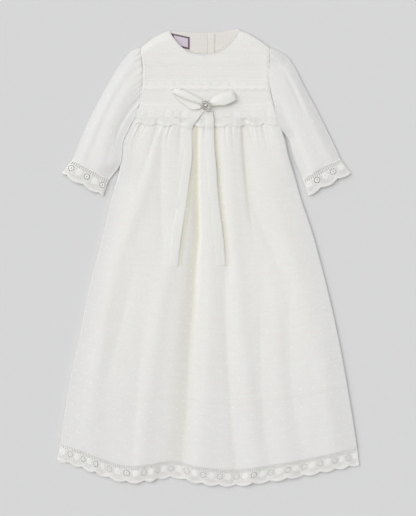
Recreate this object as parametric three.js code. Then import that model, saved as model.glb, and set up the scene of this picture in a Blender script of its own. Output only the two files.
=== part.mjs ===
// A baby's christening gown laid flat on its back, seen from above.
// It has a tucked bodice, long sleeves, a gathered skirt with one tuck above the hem,
// lace at the yoke, waist, cuffs and hem, and a ribbon bow with two tails and a round brooch.
// Millimetres. X runs from the left sleeve to the right one as seen from above,
// Y runs from the hem to the neck, and Z runs up from the table that the gown lies on.

import * as THREE from 'three';

// Wall thicknesses and the gap at a seam
const SEAM = 0.3;
const BACK_WALL = 2;
const FRONT_WALL = 1.7;
const RIDGE_WALL = 2.7;
const SLEEVE_WALL = 1.7;
const LACE_WALL = 1.1;
const RIBBON_WALL = 1;
const LABEL_WALL = 0.9;

// How far trim lies above the highest cloth beneath it
const TRIM_LIFT = 0.4;

// Heights above the table of the front's outer face
const FRONT_LOW = BACK_WALL + SEAM + FRONT_WALL;
const FRONT_LEVEL = 6.3;
const FOLD_REACH = 2.3;

// Waist seam, tuck and hem
const WAIST_Y = 245;
const SKIRT_LENGTH = 612;
const HEM_WIDTH = 524;
const BACK_HEM_LOW = -358;
const BACK_HEM_HIGH = -328;
const SIDE_ROLL = 12;
const TUCK_ABOVE_HEM = 114;
const TUCK_DEPTH = 9;
const TUCK_RISE = 0.9;

// The back lies a little inside the front's outline, open down its middle
const BACK_INSET = 1;
const OPENING_X = 0.6;

// Bodice tucks, counted down from the first
const BODICE_TUCKS = 4;
const BODICE_TUCK_TOP = 357;
const BODICE_TUCK_PITCH = 22.4;
const BODICE_TUCK_RISE = 1.1;

// Lace
const HEM_LACE_DEPTH = 31.5;
const CUFF_LACE_DEPTH = 32.4;
const WAIST_LACE_DEPTH = 39;
const LACE_CELL = 14.35;
const RING_HOLE = 2.8;
const RING_RISE = 0.7;
const PAD_RADIUS = 4.6;
const PAD_RISE = 0.9;
const MOTIF_DEPTH = 0.67;
const MOTIF_CENTRE = 0.44;
const SCALLOP = 0.13;

// Outline of the skirt: its left and right edges at heights y
const skirtSides = [
  { y: 245, left: -128, right: 124 },
  { y: 226, left: -139, right: 130 },
  { y: 206, left: -149, right: 136.5 },
  { y: 180, left: -152.5, right: 142.5 },
  { y: 149, left: -155, right: 151.5 },
  { y: 108, left: -167, right: 162 },
  { y: 40, left: -183, right: 184.5 },
  { y: -56, left: -208, right: 210 },
  { y: -140, left: -225, right: 229 },
  { y: -226, left: -243, right: 245 },
  { y: -300, left: -254, right: 257 },
  { y: -375, left: -266, right: 268 },
];

// The hem seam, where the cloth ends and the lace begins
const hemSeam = [
  { x: -268, y: -322 },
  { x: -210, y: -342 },
  { x: -164, y: -358.5 },
  { x: -132, y: -364.5 },
  { x: -99, y: -361.5 },
  { x: -74, y: -356.5 },
  { x: -50, y: -356.5 },
  { x: -16, y: -365.5 },
  { x: 46, y: -370.5 },
  { x: 126, y: -360.5 },
  { x: 205, y: -345.5 },
  { x: 268, y: -332 },
];

// How the front hem's lace is shared out along the hem, its cells close together in the fold:
// along runs from the hem's left end (0) to its right end (1)
const hemLaceCells = [
  { cell: 0, along: 0 },
  { cell: 1.5, along: 0.04 },
  { cell: 7.5, along: 0.174 },
  { cell: 11.5, along: 0.29 },
  { cell: 15.5, along: 0.378 },
  { cell: 21.5, along: 0.542 },
  { cell: 33.5, along: 0.874 },
  { cell: 39, along: 1 },
];

// Outline of the bodice: its left and right edges, with the armhole curves
const bodiceSides = [
  { y: 397, left: -117.5, right: 108 },
  { y: 367.5, left: -116.6, right: 107.4 },
  { y: 338, left: -112.4, right: 107 },
  { y: 311, left: -113, right: 107 },
  { y: 285, left: -115.7, right: 110 },
  { y: 259, left: -119.5, right: 117 },
  { y: 245, left: -127, right: 123 },
];

// The neck: shoulder points, neck points and the depth of each neckline
const NECK_LEFT = -67.6;
const NECK_RIGHT = 55.5;
const NECK_POINT_Y = 396.5;
const SHOULDER_Y = 367.5;
const NECK_DEPTH = 41.5;
const NECK_FULLNESS = 2.3;
const NECKLINE_FOOT = 352;
const backNeck = [
  { x: NECK_LEFT, y: 397 },
  { x: -50, y: 395.3 },
  { x: -20, y: 393.6 },
  { x: 14, y: 394 },
  { x: 38, y: 398 },
  { x: NECK_RIGHT, y: 400.5 },
];

// Main folds of the skirt's front. Each runs through three points (x, y), from top to bottom.
// left and right are its half widths at the top and the bottom, and rise is its height at the
// three points: over 0 for a ridge and under 0 for a valley.
const skirtFolds = [
  { x: [-18, -27, -55], y: [232, -30, -375], left: [6, 19], right: [4, 8], rise: [-1.6, -3, -3.6] },
  { x: [-6, -6, -30], y: [232, -60, -375], left: [7, 12], right: [12, 20], rise: [0.8, 2.2, 2.2] },
  { x: [30, 33, 50], y: [40, -140, -375], left: [9, 9], right: [8, 10], rise: [-0.5, -1.7, -1.5] },
  { x: [36, 50, 85], y: [235, 0, -375], left: [12, 16], right: [10, 16], rise: [0.8, 1.4, 1.6] },
  { x: [59, 66, 78], y: [245, 150, 30], left: [6, 10], right: [4, 9], rise: [-2.6, -2.6, -0.5] },
  { x: [78, 108, 142], y: [90, 20, -60], left: [10, 14], right: [9, 14], rise: [-0.8, -1.2, -0.2] },
  { x: [-92, -117, -170], y: [215, 101, -20], left: [14, 20], right: [10, 16], rise: [1.1, 1.6, 0.5] },
  { x: [-84, -98, -124], y: [245, 195, 120], left: [5, 9], right: [4, 8], rise: [-1.8, -1.4, -0.3] },
  { x: [-80, -82, -75], y: [205, 100, -20], left: [8, 10], right: [8, 10], rise: [-0.7, -1, -0.3] },
  { x: [-55, -77, -118], y: [60, -60, -375], left: [14, 20], right: [12, 16], rise: [0.8, 1.7, 1.5] },
  { x: [-128, -150, -184], y: [-10, -110, -240], left: [12, 15], right: [12, 15], rise: [-0.4, -1.3, -0.4] },
  { x: [-112, -120, -132], y: [-130, -210, -375], left: [9, 11], right: [9, 11], rise: [-0.3, -0.8, -0.8] },
  { x: [-163, -188, -200], y: [-30, -161, -375], left: [14, 18], right: [14, 18], rise: [0.7, 1.3, 0.9] },
  { x: [98, 92, 110], y: [-30, -161, -375], left: [9, 12], right: [9, 12], rise: [-0.3, -1, -0.7] },
  { x: [150, 142, 176], y: [-30, -161, -375], left: [11, 14], right: [11, 14], rise: [-0.4, -1, -0.8] },
  { x: [108, 147, 178], y: [120, 0, -160], left: [14, 18], right: [14, 18], rise: [0.8, 1.1, 0.5] },
  { x: [118, 125, 142], y: [-60, -200, -375], left: [12, 16], right: [12, 16], rise: [0.3, 1, 0.9] },
  { x: [200, 212, 222], y: [-120, -240, -375], left: [12, 16], right: [12, 16], rise: [0.3, 0.8, 0.8] },
  { x: [69, 74, 82], y: [245, 220, 195], left: [4, 5], right: [4, 5], rise: [-1, -1.4, -0.3] },
  { x: [92, 99, 109], y: [245, 226, 200], left: [4, 6], right: [4, 6], rise: [-1, -1.2, -0.3] },
  { x: [-46, -48, -50], y: [245, 210, 165], left: [4, 6], right: [4, 6], rise: [-1.4, -1.3, -0.3] },
  { x: [-110, -117, -128], y: [245, 222, 190], left: [4, 6], right: [4, 6], rise: [-1.1, -1, -0.3] },
];

// Gathers at the waist and how far down the skirt they run
const WAIST_GATHERS = 14;
const GATHER_DEPTH = 0.9;
const GATHER_RUN = 42;

// Sleeves: the outer and inner edge at each section from the armhole to the cuff,
// the height of the outer face, and how far the section's middle bows along X
const sleeveLeft = [
  { outerX: -118.4, outerY: 368, innerX: -122.2, innerY: 256, height: 6.4, bow: 6.2 },
  { outerX: -136, outerY: 359.5, innerX: -137, innerY: 236, height: 7.1, bow: 4 },
  { outerX: -154, outerY: 338, innerX: -145, innerY: 220, height: 7.3, bow: 2.5 },
  { outerX: -178, outerY: 298, innerX: -152.5, innerY: 203, height: 7.3, bow: 1 },
  { outerX: -203.5, outerY: 250, innerX: -155, innerY: 180, height: 7.2, bow: 0 },
  { outerX: -218, outerY: 219, innerX: -157.5, innerY: 157, height: 6.8, bow: 0 },
  { outerX: -229.5, outerY: 193, innerX: -165, innerY: 145.5, height: 6.3, bow: 0 },
  { outerX: -237.5, outerY: 171.5, innerX: -172, innerY: 136, height: 5.6, bow: 0 },
];
const sleeveRight = [
  { outerX: 109.6, outerY: 368, innerX: 119.8, innerY: 256, height: 6.4, bow: -6.6 },
  { outerX: 134.5, outerY: 356, innerX: 129.5, innerY: 238, height: 7.1, bow: -4 },
  { outerX: 151, outerY: 336, innerX: 134.5, innerY: 222, height: 7.3, bow: -2 },
  { outerX: 170.5, outerY: 298, innerX: 143.5, innerY: 201, height: 7.3, bow: 0 },
  { outerX: 191.5, outerY: 259, innerX: 149.5, innerY: 178.5, height: 7.2, bow: 0 },
  { outerX: 209, outerY: 224, innerX: 157, innerY: 159, height: 6.8, bow: 0 },
  { outerX: 224, outerY: 193, innerX: 162, innerY: 147, height: 6.3, bow: 0 },
  { outerX: 233, outerY: 173, innerX: 166, innerY: 137.5, height: 5.6, bow: 0 },
];

// Folds along each sleeve: across is the place from outer edge (0) to inner edge (1)
// at the armhole and at the cuff, from and to are the stretch along the sleeve
const sleeveFoldsLeft = [
  { across: [0.5, 0.62], width: 0.14, rise: 0.7, from: 0, to: 1 },
  { across: [0.8, 0.86], width: 0.06, rise: -1.3, from: 0.02, to: 0.5 },
  { across: [0.3, 0.34], width: 0.08, rise: -0.5, from: 0.1, to: 0.9 },
];
const sleeveFoldsRight = [
  { across: [0.2, 0.4], width: 0.07, rise: -1.3, from: 0.03, to: 0.45 },
  { across: [0.55, 0.6], width: 0.15, rise: 0.7, from: 0, to: 1 },
  { across: [0.82, 0.8], width: 0.08, rise: -0.5, from: 0.2, to: 0.9 },
];

// The bow: sections across each ribbon loop, from the knot out to the tip and back beneath.
// upper and lower are the ribbon's two edges in plan, z is its height.
const loopLeft = [
  { upperX: -9, upperY: 275, lowerX: -10.8, lowerY: 266.5, z: 13 },
  { upperX: -24, upperY: 283, lowerX: -26, lowerY: 272.5, z: 15.5 },
  { upperX: -40, upperY: 290.5, lowerX: -43, lowerY: 279, z: 16.5 },
  { upperX: -53, upperY: 294.5, lowerX: -56, lowerY: 285, z: 15 },
  { upperX: -58.5, upperY: 293.5, lowerX: -60, lowerY: 286.5, z: 12.5 },
  { upperX: -55, upperY: 291, lowerX: -54.5, lowerY: 279, z: 10.2 },
  { upperX: -42, upperY: 284.5, lowerX: -40.5, lowerY: 267.5, z: 9.8 },
  { upperX: -27, upperY: 277, lowerX: -28, lowerY: 259, z: 9.8 },
  { upperX: -12, upperY: 270.5, lowerX: -12, lowerY: 260.5, z: 10 },
];
const loopRight = [
  { upperX: 4.5, upperY: 276.5, lowerX: 4.5, lowerY: 264, z: 13 },
  { upperX: 17, upperY: 284, lowerX: 16, lowerY: 265.5, z: 16 },
  { upperX: 31, upperY: 288.5, lowerX: 32, lowerY: 266.5, z: 17.5 },
  { upperX: 41, upperY: 290.5, lowerX: 46, lowerY: 273, z: 16.5 },
  { upperX: 44.5, upperY: 290, lowerX: 51.5, lowerY: 276, z: 13.5 },
  { upperX: 41, upperY: 289, lowerX: 46, lowerY: 273.5, z: 10.4 },
  { upperX: 29, upperY: 286, lowerX: 30, lowerY: 268, z: 9.8 },
  { upperX: 16, upperY: 281, lowerX: 15.5, lowerY: 267, z: 9.8 },
  { upperX: 4.5, upperY: 272, lowerX: 4.5, lowerY: 263, z: 10 },
];

// The ribbon tails: their left and right edges at heights y
const tailLeft = [
  { y: 255, left: -17.5, right: -7 },
  { y: 240, left: -31, right: -18 },
  { y: 226, left: -39, right: -26.5 },
  { y: 176, left: -41.5, right: -27 },
  { y: 137, left: -47, right: -31.5 },
  { y: 86, left: -54, right: -38.5 },
  { y: 36, left: -62, right: -46 },
  { y: -16, left: -68.5, right: -52.5 },
];
const tailRight = [
  { y: 255, left: -3.5, right: 9 },
  { y: 240, left: -4.5, right: 11 },
  { y: 199, left: -3.5, right: 12 },
  { y: 157, left: -0.5, right: 15.5 },
  { y: 111, left: 2.5, right: 18.5 },
  { y: 64, left: 8, right: 24 },
  { y: 27, left: 12.5, right: 28.5 },
  { y: -14, left: 15.5, right: 31.5 },
];

// The brooch and its stones
const BROOCH_X = -3.1;
const BROOCH_Y = 265;
const BROOCH_RADIUS = 8.8;
const BROOCH_Z = 16.2;
const RIM_STONES = 6;
const RIM_STONE_RADIUS = 2.4;
const RIM_STONE_CIRCLE = 6;
const CENTRE_STONE_RADIUS = 3.2;

const clamp = THREE.MathUtils.clamp;
const lerp = THREE.MathUtils.lerp;
const smoothstep = THREE.MathUtils.smoothstep;

// Smooth reading of one column of a table between its rows
function readTable(table, key, at, column) {
  const rising = table[1][key] > table[0][key];
  const order = rising ? table : [...table].reverse();
  const last = order.length - 1;
  const value = clamp(at, order[0][key], order[last][key]);
  let k = 0;
  while (k < last - 1 && order[k + 1][key] < value) k += 1;
  const span = order[k + 1][key] - order[k][key];
  const t = (value - order[k][key]) / span;
  const slope = (i) => {
    const before = order[Math.max(i - 1, 0)];
    const after = order[Math.min(i + 1, last)];
    return (after[column] - before[column]) / (after[key] - before[key]);
  };
  const a = order[k][column];
  const b = order[k + 1][column];
  const h = (1 - t) * t;
  const blend = t * t * (3 - 2 * t);
  return lerp(a, b, blend) + span * h * ((1 - t) * slope(k) - t * slope(k + 1));
}

// A curve through three values at three places
function throughThree(at, places, values) {
  const [p, q, r] = places;
  const [a, b, c] = values;
  const first = (a * (at - q) * (at - r)) / ((p - q) * (p - r));
  const second = (b * (at - p) * (at - r)) / ((q - p) * (q - r));
  const third = (c * (at - p) * (at - q)) / ((r - p) * (r - q));
  return first + second + third;
}

// Height that the folds of a table give to a point
function foldRise(folds, x, y) {
  const fade = 22;
  let sum = 0;
  for (const fold of folds) {
    const [top, middle, bottom] = fold.y;
    if (y > top + fade || y < bottom - fade) continue;
    const t = clamp((top - y) / (top - bottom), 0, 1);
    const along = clamp(y, bottom, top);
    const half = (top - middle) / (top - bottom);
    const rise = t < half
      ? lerp(fold.rise[0], fold.rise[1], t / half)
      : lerp(fold.rise[1], fold.rise[2], (t - half) / (1 - half));
    const off = x - throughThree(along, fold.y, fold.x);
    const side = off < 0 ? fold.left : fold.right;
    const width = lerp(side[0], side[1], t);
    const end = 1 - Math.abs(y - along) / fade;
    sum += rise * end * Math.exp(-((off / width) ** 2));
  }
  return sum;
}

// A closed wall from a pattern of points and faces: the outer face, the inner face,
// and a rim along every free edge, round holes too
function closedWall(pattern, outer, inner) {
  const count = pattern.points.length;
  const corners = [...pattern.points.map(outer), ...pattern.points.map(inner)];
  const index = [];
  const freeEdges = new Map();
  for (const face of pattern.faces) {
    for (let k = 1; k + 1 < face.length; k += 1) {
      index.push(face[0], face[k], face[k + 1]);
      index.push(count + face[0], count + face[k + 1], count + face[k]);
    }
    face.forEach((a, k) => {
      const b = face[(k + 1) % face.length];
      if (!freeEdges.delete(`${b} ${a}`)) freeEdges.set(`${a} ${b}`, [a, b]);
    });
  }
  for (const [a, b] of freeEdges.values()) {
    index.push(a, count + a, count + b);
    index.push(a, count + b, b);
  }
  const geometry = new THREE.BufferGeometry();
  const positions = corners.flatMap((corner) => corner.toArray());
  geometry.setAttribute('position', new THREE.Float32BufferAttribute(positions, 3));
  geometry.setIndex(index);
  geometry.computeVertexNormals();
  return geometry;
}

// A pattern of rows and columns. spot gives the point at column i and row j,
// with columns towards +X and rows towards -Y.
function gridPattern(columns, rows, spot) {
  const points = [];
  const faces = [];
  for (let j = 0; j <= rows; j += 1) {
    for (let i = 0; i <= columns; i += 1) points.push(spot(i, j));
  }
  for (let j = 0; j < rows; j += 1) {
    for (let i = 0; i < columns; i += 1) {
      const a = j * (columns + 1) + i;
      const b = a + columns + 1;
      faces.push([a, b, b + 1, a + 1]);
    }
  }
  return { points, faces };
}

// Place on the skirt: u from its left edge to its right, v from the waist to the hem
function skirtSpot(u, v, hem) {
  const y = lerp(WAIST_Y - SEAM, hem(lerp(-0.5, 0.5, u) * HEM_WIDTH), v);
  const left = readTable(skirtSides, 'y', y, 'left');
  const right = readTable(skirtSides, 'y', y, 'right');
  return { x: lerp(left, right, u), y, u, v };
}

const frontHem = (x) => readTable(hemSeam, 'x', x, 'y');
const backHem = (x) => lerp(BACK_HEM_LOW, BACK_HEM_HIGH, (2 * x / HEM_WIDTH) ** 2);

// Rise of the tuck across the skirt
function skirtTuck(v) {
  const aboveHem = SKIRT_LENGTH * (1 - v);
  return aboveHem > TUCK_ABOVE_HEM && aboveHem < TUCK_ABOVE_HEM + TUCK_DEPTH ? TUCK_RISE : 0;
}

// Face of the skirt's front without its tuck
function skirtLevel({ x, y, u, v }) {
  const gathers = 0.5 + 0.5 * Math.cos(2 * Math.PI * WAIST_GATHERS * u + 2 * Math.sin(9 * u));
  const near = clamp(1 - (WAIST_Y - y) / GATHER_RUN, 0, 1);
  const rise = foldRise(skirtFolds, x, y) - GATHER_DEPTH * gathers * near;
  const level = FRONT_LEVEL + FOLD_REACH * Math.tanh(rise / FOLD_REACH);
  const fromSide = Math.min(u, 1 - u) * lerp(skirtSides[0].right - skirtSides[0].left, HEM_WIDTH, v);
  return lerp(FRONT_LOW, level, smoothstep(fromSide, -4, SIDE_ROLL));
}

// Outer face of the skirt's front
function skirtHeight(spot) {
  return skirtLevel(spot) + skirtTuck(spot.v);
}

// Inner face of the skirt's front, whose wall is thicker where the cloth is bunched in a ridge
function skirtInside(spot) {
  const level = skirtLevel(spot);
  const share = clamp((level - FRONT_LOW) / (2 * FOLD_REACH), 0, 1);
  return Math.max(level - lerp(FRONT_WALL, RIDGE_WALL, share), BACK_WALL + SEAM);
}

// Rows of the skirt from waist to hem: close at the gathers, then at the tuck
function skirtRows(upper, lower) {
  const tuckTop = 1 - (TUCK_ABOVE_HEM + TUCK_DEPTH) / SKIRT_LENGTH;
  const tuckFoot = 1 - TUCK_ABOVE_HEM / SKIRT_LENGTH;
  const step = 0.0012;
  const rows = [];
  for (let k = 0; k <= upper; k += 1) rows.push((tuckTop - step) * (k / upper) ** 1.7);
  rows.push(tuckTop + step, tuckFoot - step, tuckFoot + step);
  for (let k = 1; k <= lower; k += 1) rows.push(lerp(tuckFoot + step, 1, k / lower));
  return rows;
}

function skirtFront() {
  const columns = 44;
  const rows = skirtRows(14, 3);
  const pattern = gridPattern(columns, rows.length - 1, (i, j) => (
    skirtSpot(i / columns, rows[j], frontHem)
  ));
  const outer = (spot) => new THREE.Vector3(spot.x, spot.y, skirtHeight(spot));
  const inner = (spot) => new THREE.Vector3(spot.x, spot.y, skirtInside(spot));
  return closedWall(pattern, outer, inner);
}

function skirtBack() {
  const columns = 10;
  const rows = 12;
  const pattern = gridPattern(columns, rows, (i, j) => {
    const spot = skirtSpot(i / columns, (j / rows) ** 1.3, backHem);
    const inset = BACK_INSET * (1 - (2 * i) / columns);
    return { ...spot, x: spot.x + inset };
  });
  const outer = (spot) => new THREE.Vector3(spot.x, spot.y, BACK_WALL);
  const inner = (spot) => new THREE.Vector3(spot.x, spot.y, 0);
  return closedWall(pattern, outer, inner);
}

// Shoulder line and front neckline: the bodice's top edge at x
function shoulderY(x) {
  const left = bodiceSides[1].left;
  const right = bodiceSides[1].right;
  const t = x < 0 ? (x - left) / (NECK_LEFT - left) : (right - x) / (right - NECK_RIGHT);
  return lerp(SHOULDER_Y, NECK_POINT_Y, Math.sin((clamp(t, 0, 1) * Math.PI) / 2.4) / Math.sin(Math.PI / 2.4));
}

function necklineY(x) {
  const middle = (NECK_LEFT + NECK_RIGHT) / 2;
  const reach = (NECK_RIGHT - NECK_LEFT) / 2;
  const off = clamp(Math.abs(x - middle) / reach, 0, 1);
  return NECK_POINT_Y - NECK_DEPTH * (1 - off ** NECK_FULLNESS);
}

// Columns of the bodice: shoulder, neckline (even steps round its curve), shoulder
function bodiceColumns(shoulder, neck) {
  const left = bodiceSides[1].left;
  const right = bodiceSides[1].right;
  const middle = (NECK_LEFT + NECK_RIGHT) / 2;
  const reach = (NECK_RIGHT - NECK_LEFT) / 2;
  const columns = [];
  for (let k = 0; k < shoulder; k += 1) columns.push(lerp(left, NECK_LEFT, k / shoulder));
  for (let k = 0; k <= neck; k += 1) columns.push(middle - reach * Math.cos((Math.PI * k) / neck));
  for (let k = 1; k <= shoulder; k += 1) columns.push(lerp(NECK_RIGHT, right, k / shoulder));
  return columns;
}

// Pattern of a bodice panel: straight rows up to the neckline's foot, then rows that close on
// the top edge. Columns are given where they meet the top edge.
function bodicePattern(columns, rows, topRows, topEdge) {
  const topLeft = bodiceSides[1].left;
  const topRight = bodiceSides[1].right;
  return gridPattern(columns.length - 1, rows.length - 1 + topRows, (i, j) => {
    const y = j < topRows ? lerp(topEdge(columns[i]), rows[0], j / topRows) : rows[j - topRows];
    const left = readTable(bodiceSides, 'y', y, 'left');
    const right = readTable(bodiceSides, 'y', y, 'right');
    const share = (columns[i] - topLeft) / (topRight - topLeft);
    return { x: y > rows[0] ? columns[i] : lerp(left, right, share), y };
  });
}

// Rise of the bodice's tucks: each is a flat fold whose lower edge stands clear of the next
function tuckRise(y) {
  const edgeStep = 0.5;
  for (let k = 0; k < BODICE_TUCKS; k += 1) {
    const edge = BODICE_TUCK_TOP - k * BODICE_TUCK_PITCH;
    const above = y - edge;
    if (above > -edgeStep && above < BODICE_TUCK_PITCH / 2) {
      return BODICE_TUCK_RISE * clamp((above + edgeStep) / (2 * edgeStep), 0, 1);
    }
    if (above >= BODICE_TUCK_PITCH / 2 && above < BODICE_TUCK_PITCH - edgeStep) {
      return BODICE_TUCK_RISE * (2 - (2 * above) / BODICE_TUCK_PITCH);
    }
  }
  return 0;
}

function bodiceLevel({ x, y }) {
  const fromShoulder = shoulderY(x) - y;
  const left = readTable(bodiceSides, 'y', y, 'left');
  const right = readTable(bodiceSides, 'y', y, 'right');
  const fromSide = Math.min(x - left, right - x);
  const nearWaist = smoothstep(y, WAIST_Y, WAIST_Y + 20);
  const lift = Math.min(smoothstep(fromShoulder, -3, 14), smoothstep(fromSide, -6, 10));
  return lerp(FRONT_LOW, FRONT_LEVEL, lift) + 0.25 * nearWaist * lift;
}

function bodiceHeight(spot) {
  return bodiceLevel(spot) + tuckRise(spot.y);
}

// Straight rows of the bodice, with three at each tuck's edge
function bodiceRows() {
  const rows = [NECKLINE_FOOT];
  for (let k = 1; k < BODICE_TUCKS; k += 1) {
    const edge = BODICE_TUCK_TOP - k * BODICE_TUCK_PITCH;
    rows.push(edge + BODICE_TUCK_PITCH / 2, edge + 0.5, edge - 0.5);
  }
  rows.push(274, 259, WAIST_Y);
  return rows;
}

function bodiceFront() {
  const topEdge = (x) => (
    x < NECK_LEFT || x > NECK_RIGHT ? shoulderY(x) : Math.min(necklineY(x), shoulderY(x))
  );
  const pattern = bodicePattern(bodiceColumns(3, 12), bodiceRows(), 3, topEdge);
  const outer = (spot) => new THREE.Vector3(spot.x, spot.y, bodiceHeight(spot));
  const inner = (spot) => new THREE.Vector3(spot.x, spot.y, bodiceLevel(spot) - FRONT_WALL);
  return closedWall(pattern, outer, inner);
}

// One half of the back bodice, from its side to the centre-back opening
function bodiceBack(side) {
  const rows = [NECKLINE_FOOT, 311, 285, 259, WAIST_Y];
  const edgeX = OPENING_X + (side * SEAM) / 2;
  const inHalf = (x) => (side < 0 ? x < edgeX - 2 : x > edgeX + 2);
  const half = bodiceColumns(2, 8).filter(inHalf);
  const columns = side < 0 ? [...half, edgeX] : [edgeX, ...half];
  const topEdge = (x) => (
    x < NECK_LEFT || x > NECK_RIGHT ? shoulderY(x) : readTable(backNeck, 'x', x, 'y')
  );
  const pattern = bodicePattern(columns, rows, 2, topEdge);
  const inset = (x) => x * (1 - BACK_INSET / bodiceSides[0].right) - SEAM / 2;
  const outer = (spot) => new THREE.Vector3(inset(spot.x), spot.y, BACK_WALL);
  const inner = (spot) => new THREE.Vector3(inset(spot.x), spot.y, 0);
  return closedWall(pattern, outer, inner);
}

// The placket strip inside the centre-back opening
function backPlacket() {
  const left = 1.5;
  const right = 13;
  const top = 391.5;
  const foot = 300;
  const columns = 1;
  const rows = 4;
  const pattern = gridPattern(columns, rows, (i, j) => ({
    x: lerp(left, right, i / columns),
    y: lerp(top, foot, j / rows),
  }));
  const seat = BACK_WALL + SEAM;
  const outer = (spot) => new THREE.Vector3(spot.x, spot.y, seat + RIBBON_WALL);
  const inner = (spot) => new THREE.Vector3(spot.x, spot.y, seat);
  return closedWall(pattern, outer, inner);
}

// The plain label inside the back neck
function neckLabel() {
  const corners = { left: -61.5, right: -31.5, top: 392.6, foot: 371, tilt: -0.22 };
  const columns = 2;
  const rows = 1;
  const pattern = gridPattern(columns, rows, (i, j) => {
    const x = lerp(corners.left, corners.right, i / columns);
    return { x, y: lerp(corners.top, corners.foot, j / rows) + corners.tilt * (x - corners.left) };
  });
  const seat = BACK_WALL + SEAM;
  const outer = (spot) => new THREE.Vector3(spot.x, spot.y, seat + LABEL_WALL);
  const inner = (spot) => new THREE.Vector3(spot.x, spot.y, seat);
  return closedWall(pattern, outer, inner);
}

// A tube wall from rings of outer and inner points, open at both ends
function tubeWall(outerRings, innerRings) {
  const around = outerRings[0].length;
  const length = outerRings.length;
  const corners = [...outerRings.flat(), ...innerRings.flat()];
  const inside = around * length;
  const index = [];
  const quad = (a, b, c, d) => index.push(a, b, c, a, c, d);
  for (let k = 0; k < around; k += 1) {
    const next = (k + 1) % around;
    for (let r = 0; r + 1 < length; r += 1) {
      const a = r * around;
      const b = a + around;
      quad(a + k, b + k, b + next, a + next);
      quad(inside + a + next, inside + b + next, inside + b + k, inside + a + k);
    }
    const end = (length - 1) * around;
    quad(k, next, inside + next, inside + k);
    quad(end + next, end + k, inside + end + k, inside + end + next);
  }
  const geometry = new THREE.BufferGeometry();
  const positions = corners.flatMap((corner) => corner.toArray());
  geometry.setAttribute('position', new THREE.Float32BufferAttribute(positions, 3));
  geometry.setIndex(index);
  geometry.computeVertexNormals();
  return geometry;
}

// Outer face of a sleeve at a place across it and along it
function sleeveHeight(folds, height, across, along) {
  const round = (1 - Math.abs(2 * across - 1) ** 3) ** 0.55;
  let rise = 0;
  for (const fold of folds) {
    const centre = lerp(fold.across[0], fold.across[1], along);
    const ends = smoothstep(along, fold.from - 0.1, fold.from + 0.05)
      * (1 - smoothstep(along, fold.to - 0.1, fold.to + 0.1));
    rise += fold.rise * ends * Math.exp(-(((across - centre) / fold.width) ** 2));
  }
  const level = height + clamp(rise, -2, 0.3);
  return lerp(SLEEVE_WALL + 0.8, level, round);
}

function sleeve(sections, folds, side) {
  const topSteps = 14;
  const baseSteps = 6;
  const last = sections.length - 1;
  const outerRings = [];
  const innerRings = [];
  sections.forEach((section, r) => {
    const along = r / last;
    const chord = Math.hypot(section.outerX - section.innerX, section.outerY - section.innerY);
    const place = (across, z) => new THREE.Vector3(
      lerp(section.outerX, section.innerX, across) + section.bow * 4 * across * (1 - across),
      lerp(section.outerY, section.innerY, across),
      z,
    );
    const margin = SLEEVE_WALL / chord;
    const outer = [];
    const inner = [];
    for (let k = 0; k <= topSteps; k += 1) {
      const across = 0.5 - 0.5 * Math.cos((Math.PI * k) / topSteps);
      const z = sleeveHeight(folds, section.height, across, along);
      outer.push(place(across, z));
      const within = lerp(margin, 1 - margin, across);
      inner.push(place(within, Math.max(z - SLEEVE_WALL, SLEEVE_WALL + 0.4)));
    }
    for (let k = 1; k <= baseSteps; k += 1) {
      const across = 1 - k / (baseSteps + 1);
      const spread = 0.5 - 0.5 * Math.cos(Math.PI * across);
      outer.push(place(lerp(0.02, 0.98, spread), 0));
      inner.push(place(lerp(0.02 + margin, 0.98 - margin, spread), SLEEVE_WALL));
    }
    outerRings.push(side < 0 ? outer : outer.reverse());
    innerRings.push(side < 0 ? inner : inner.reverse());
  });
  return tubeWall(outerRings, innerRings);
}

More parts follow.
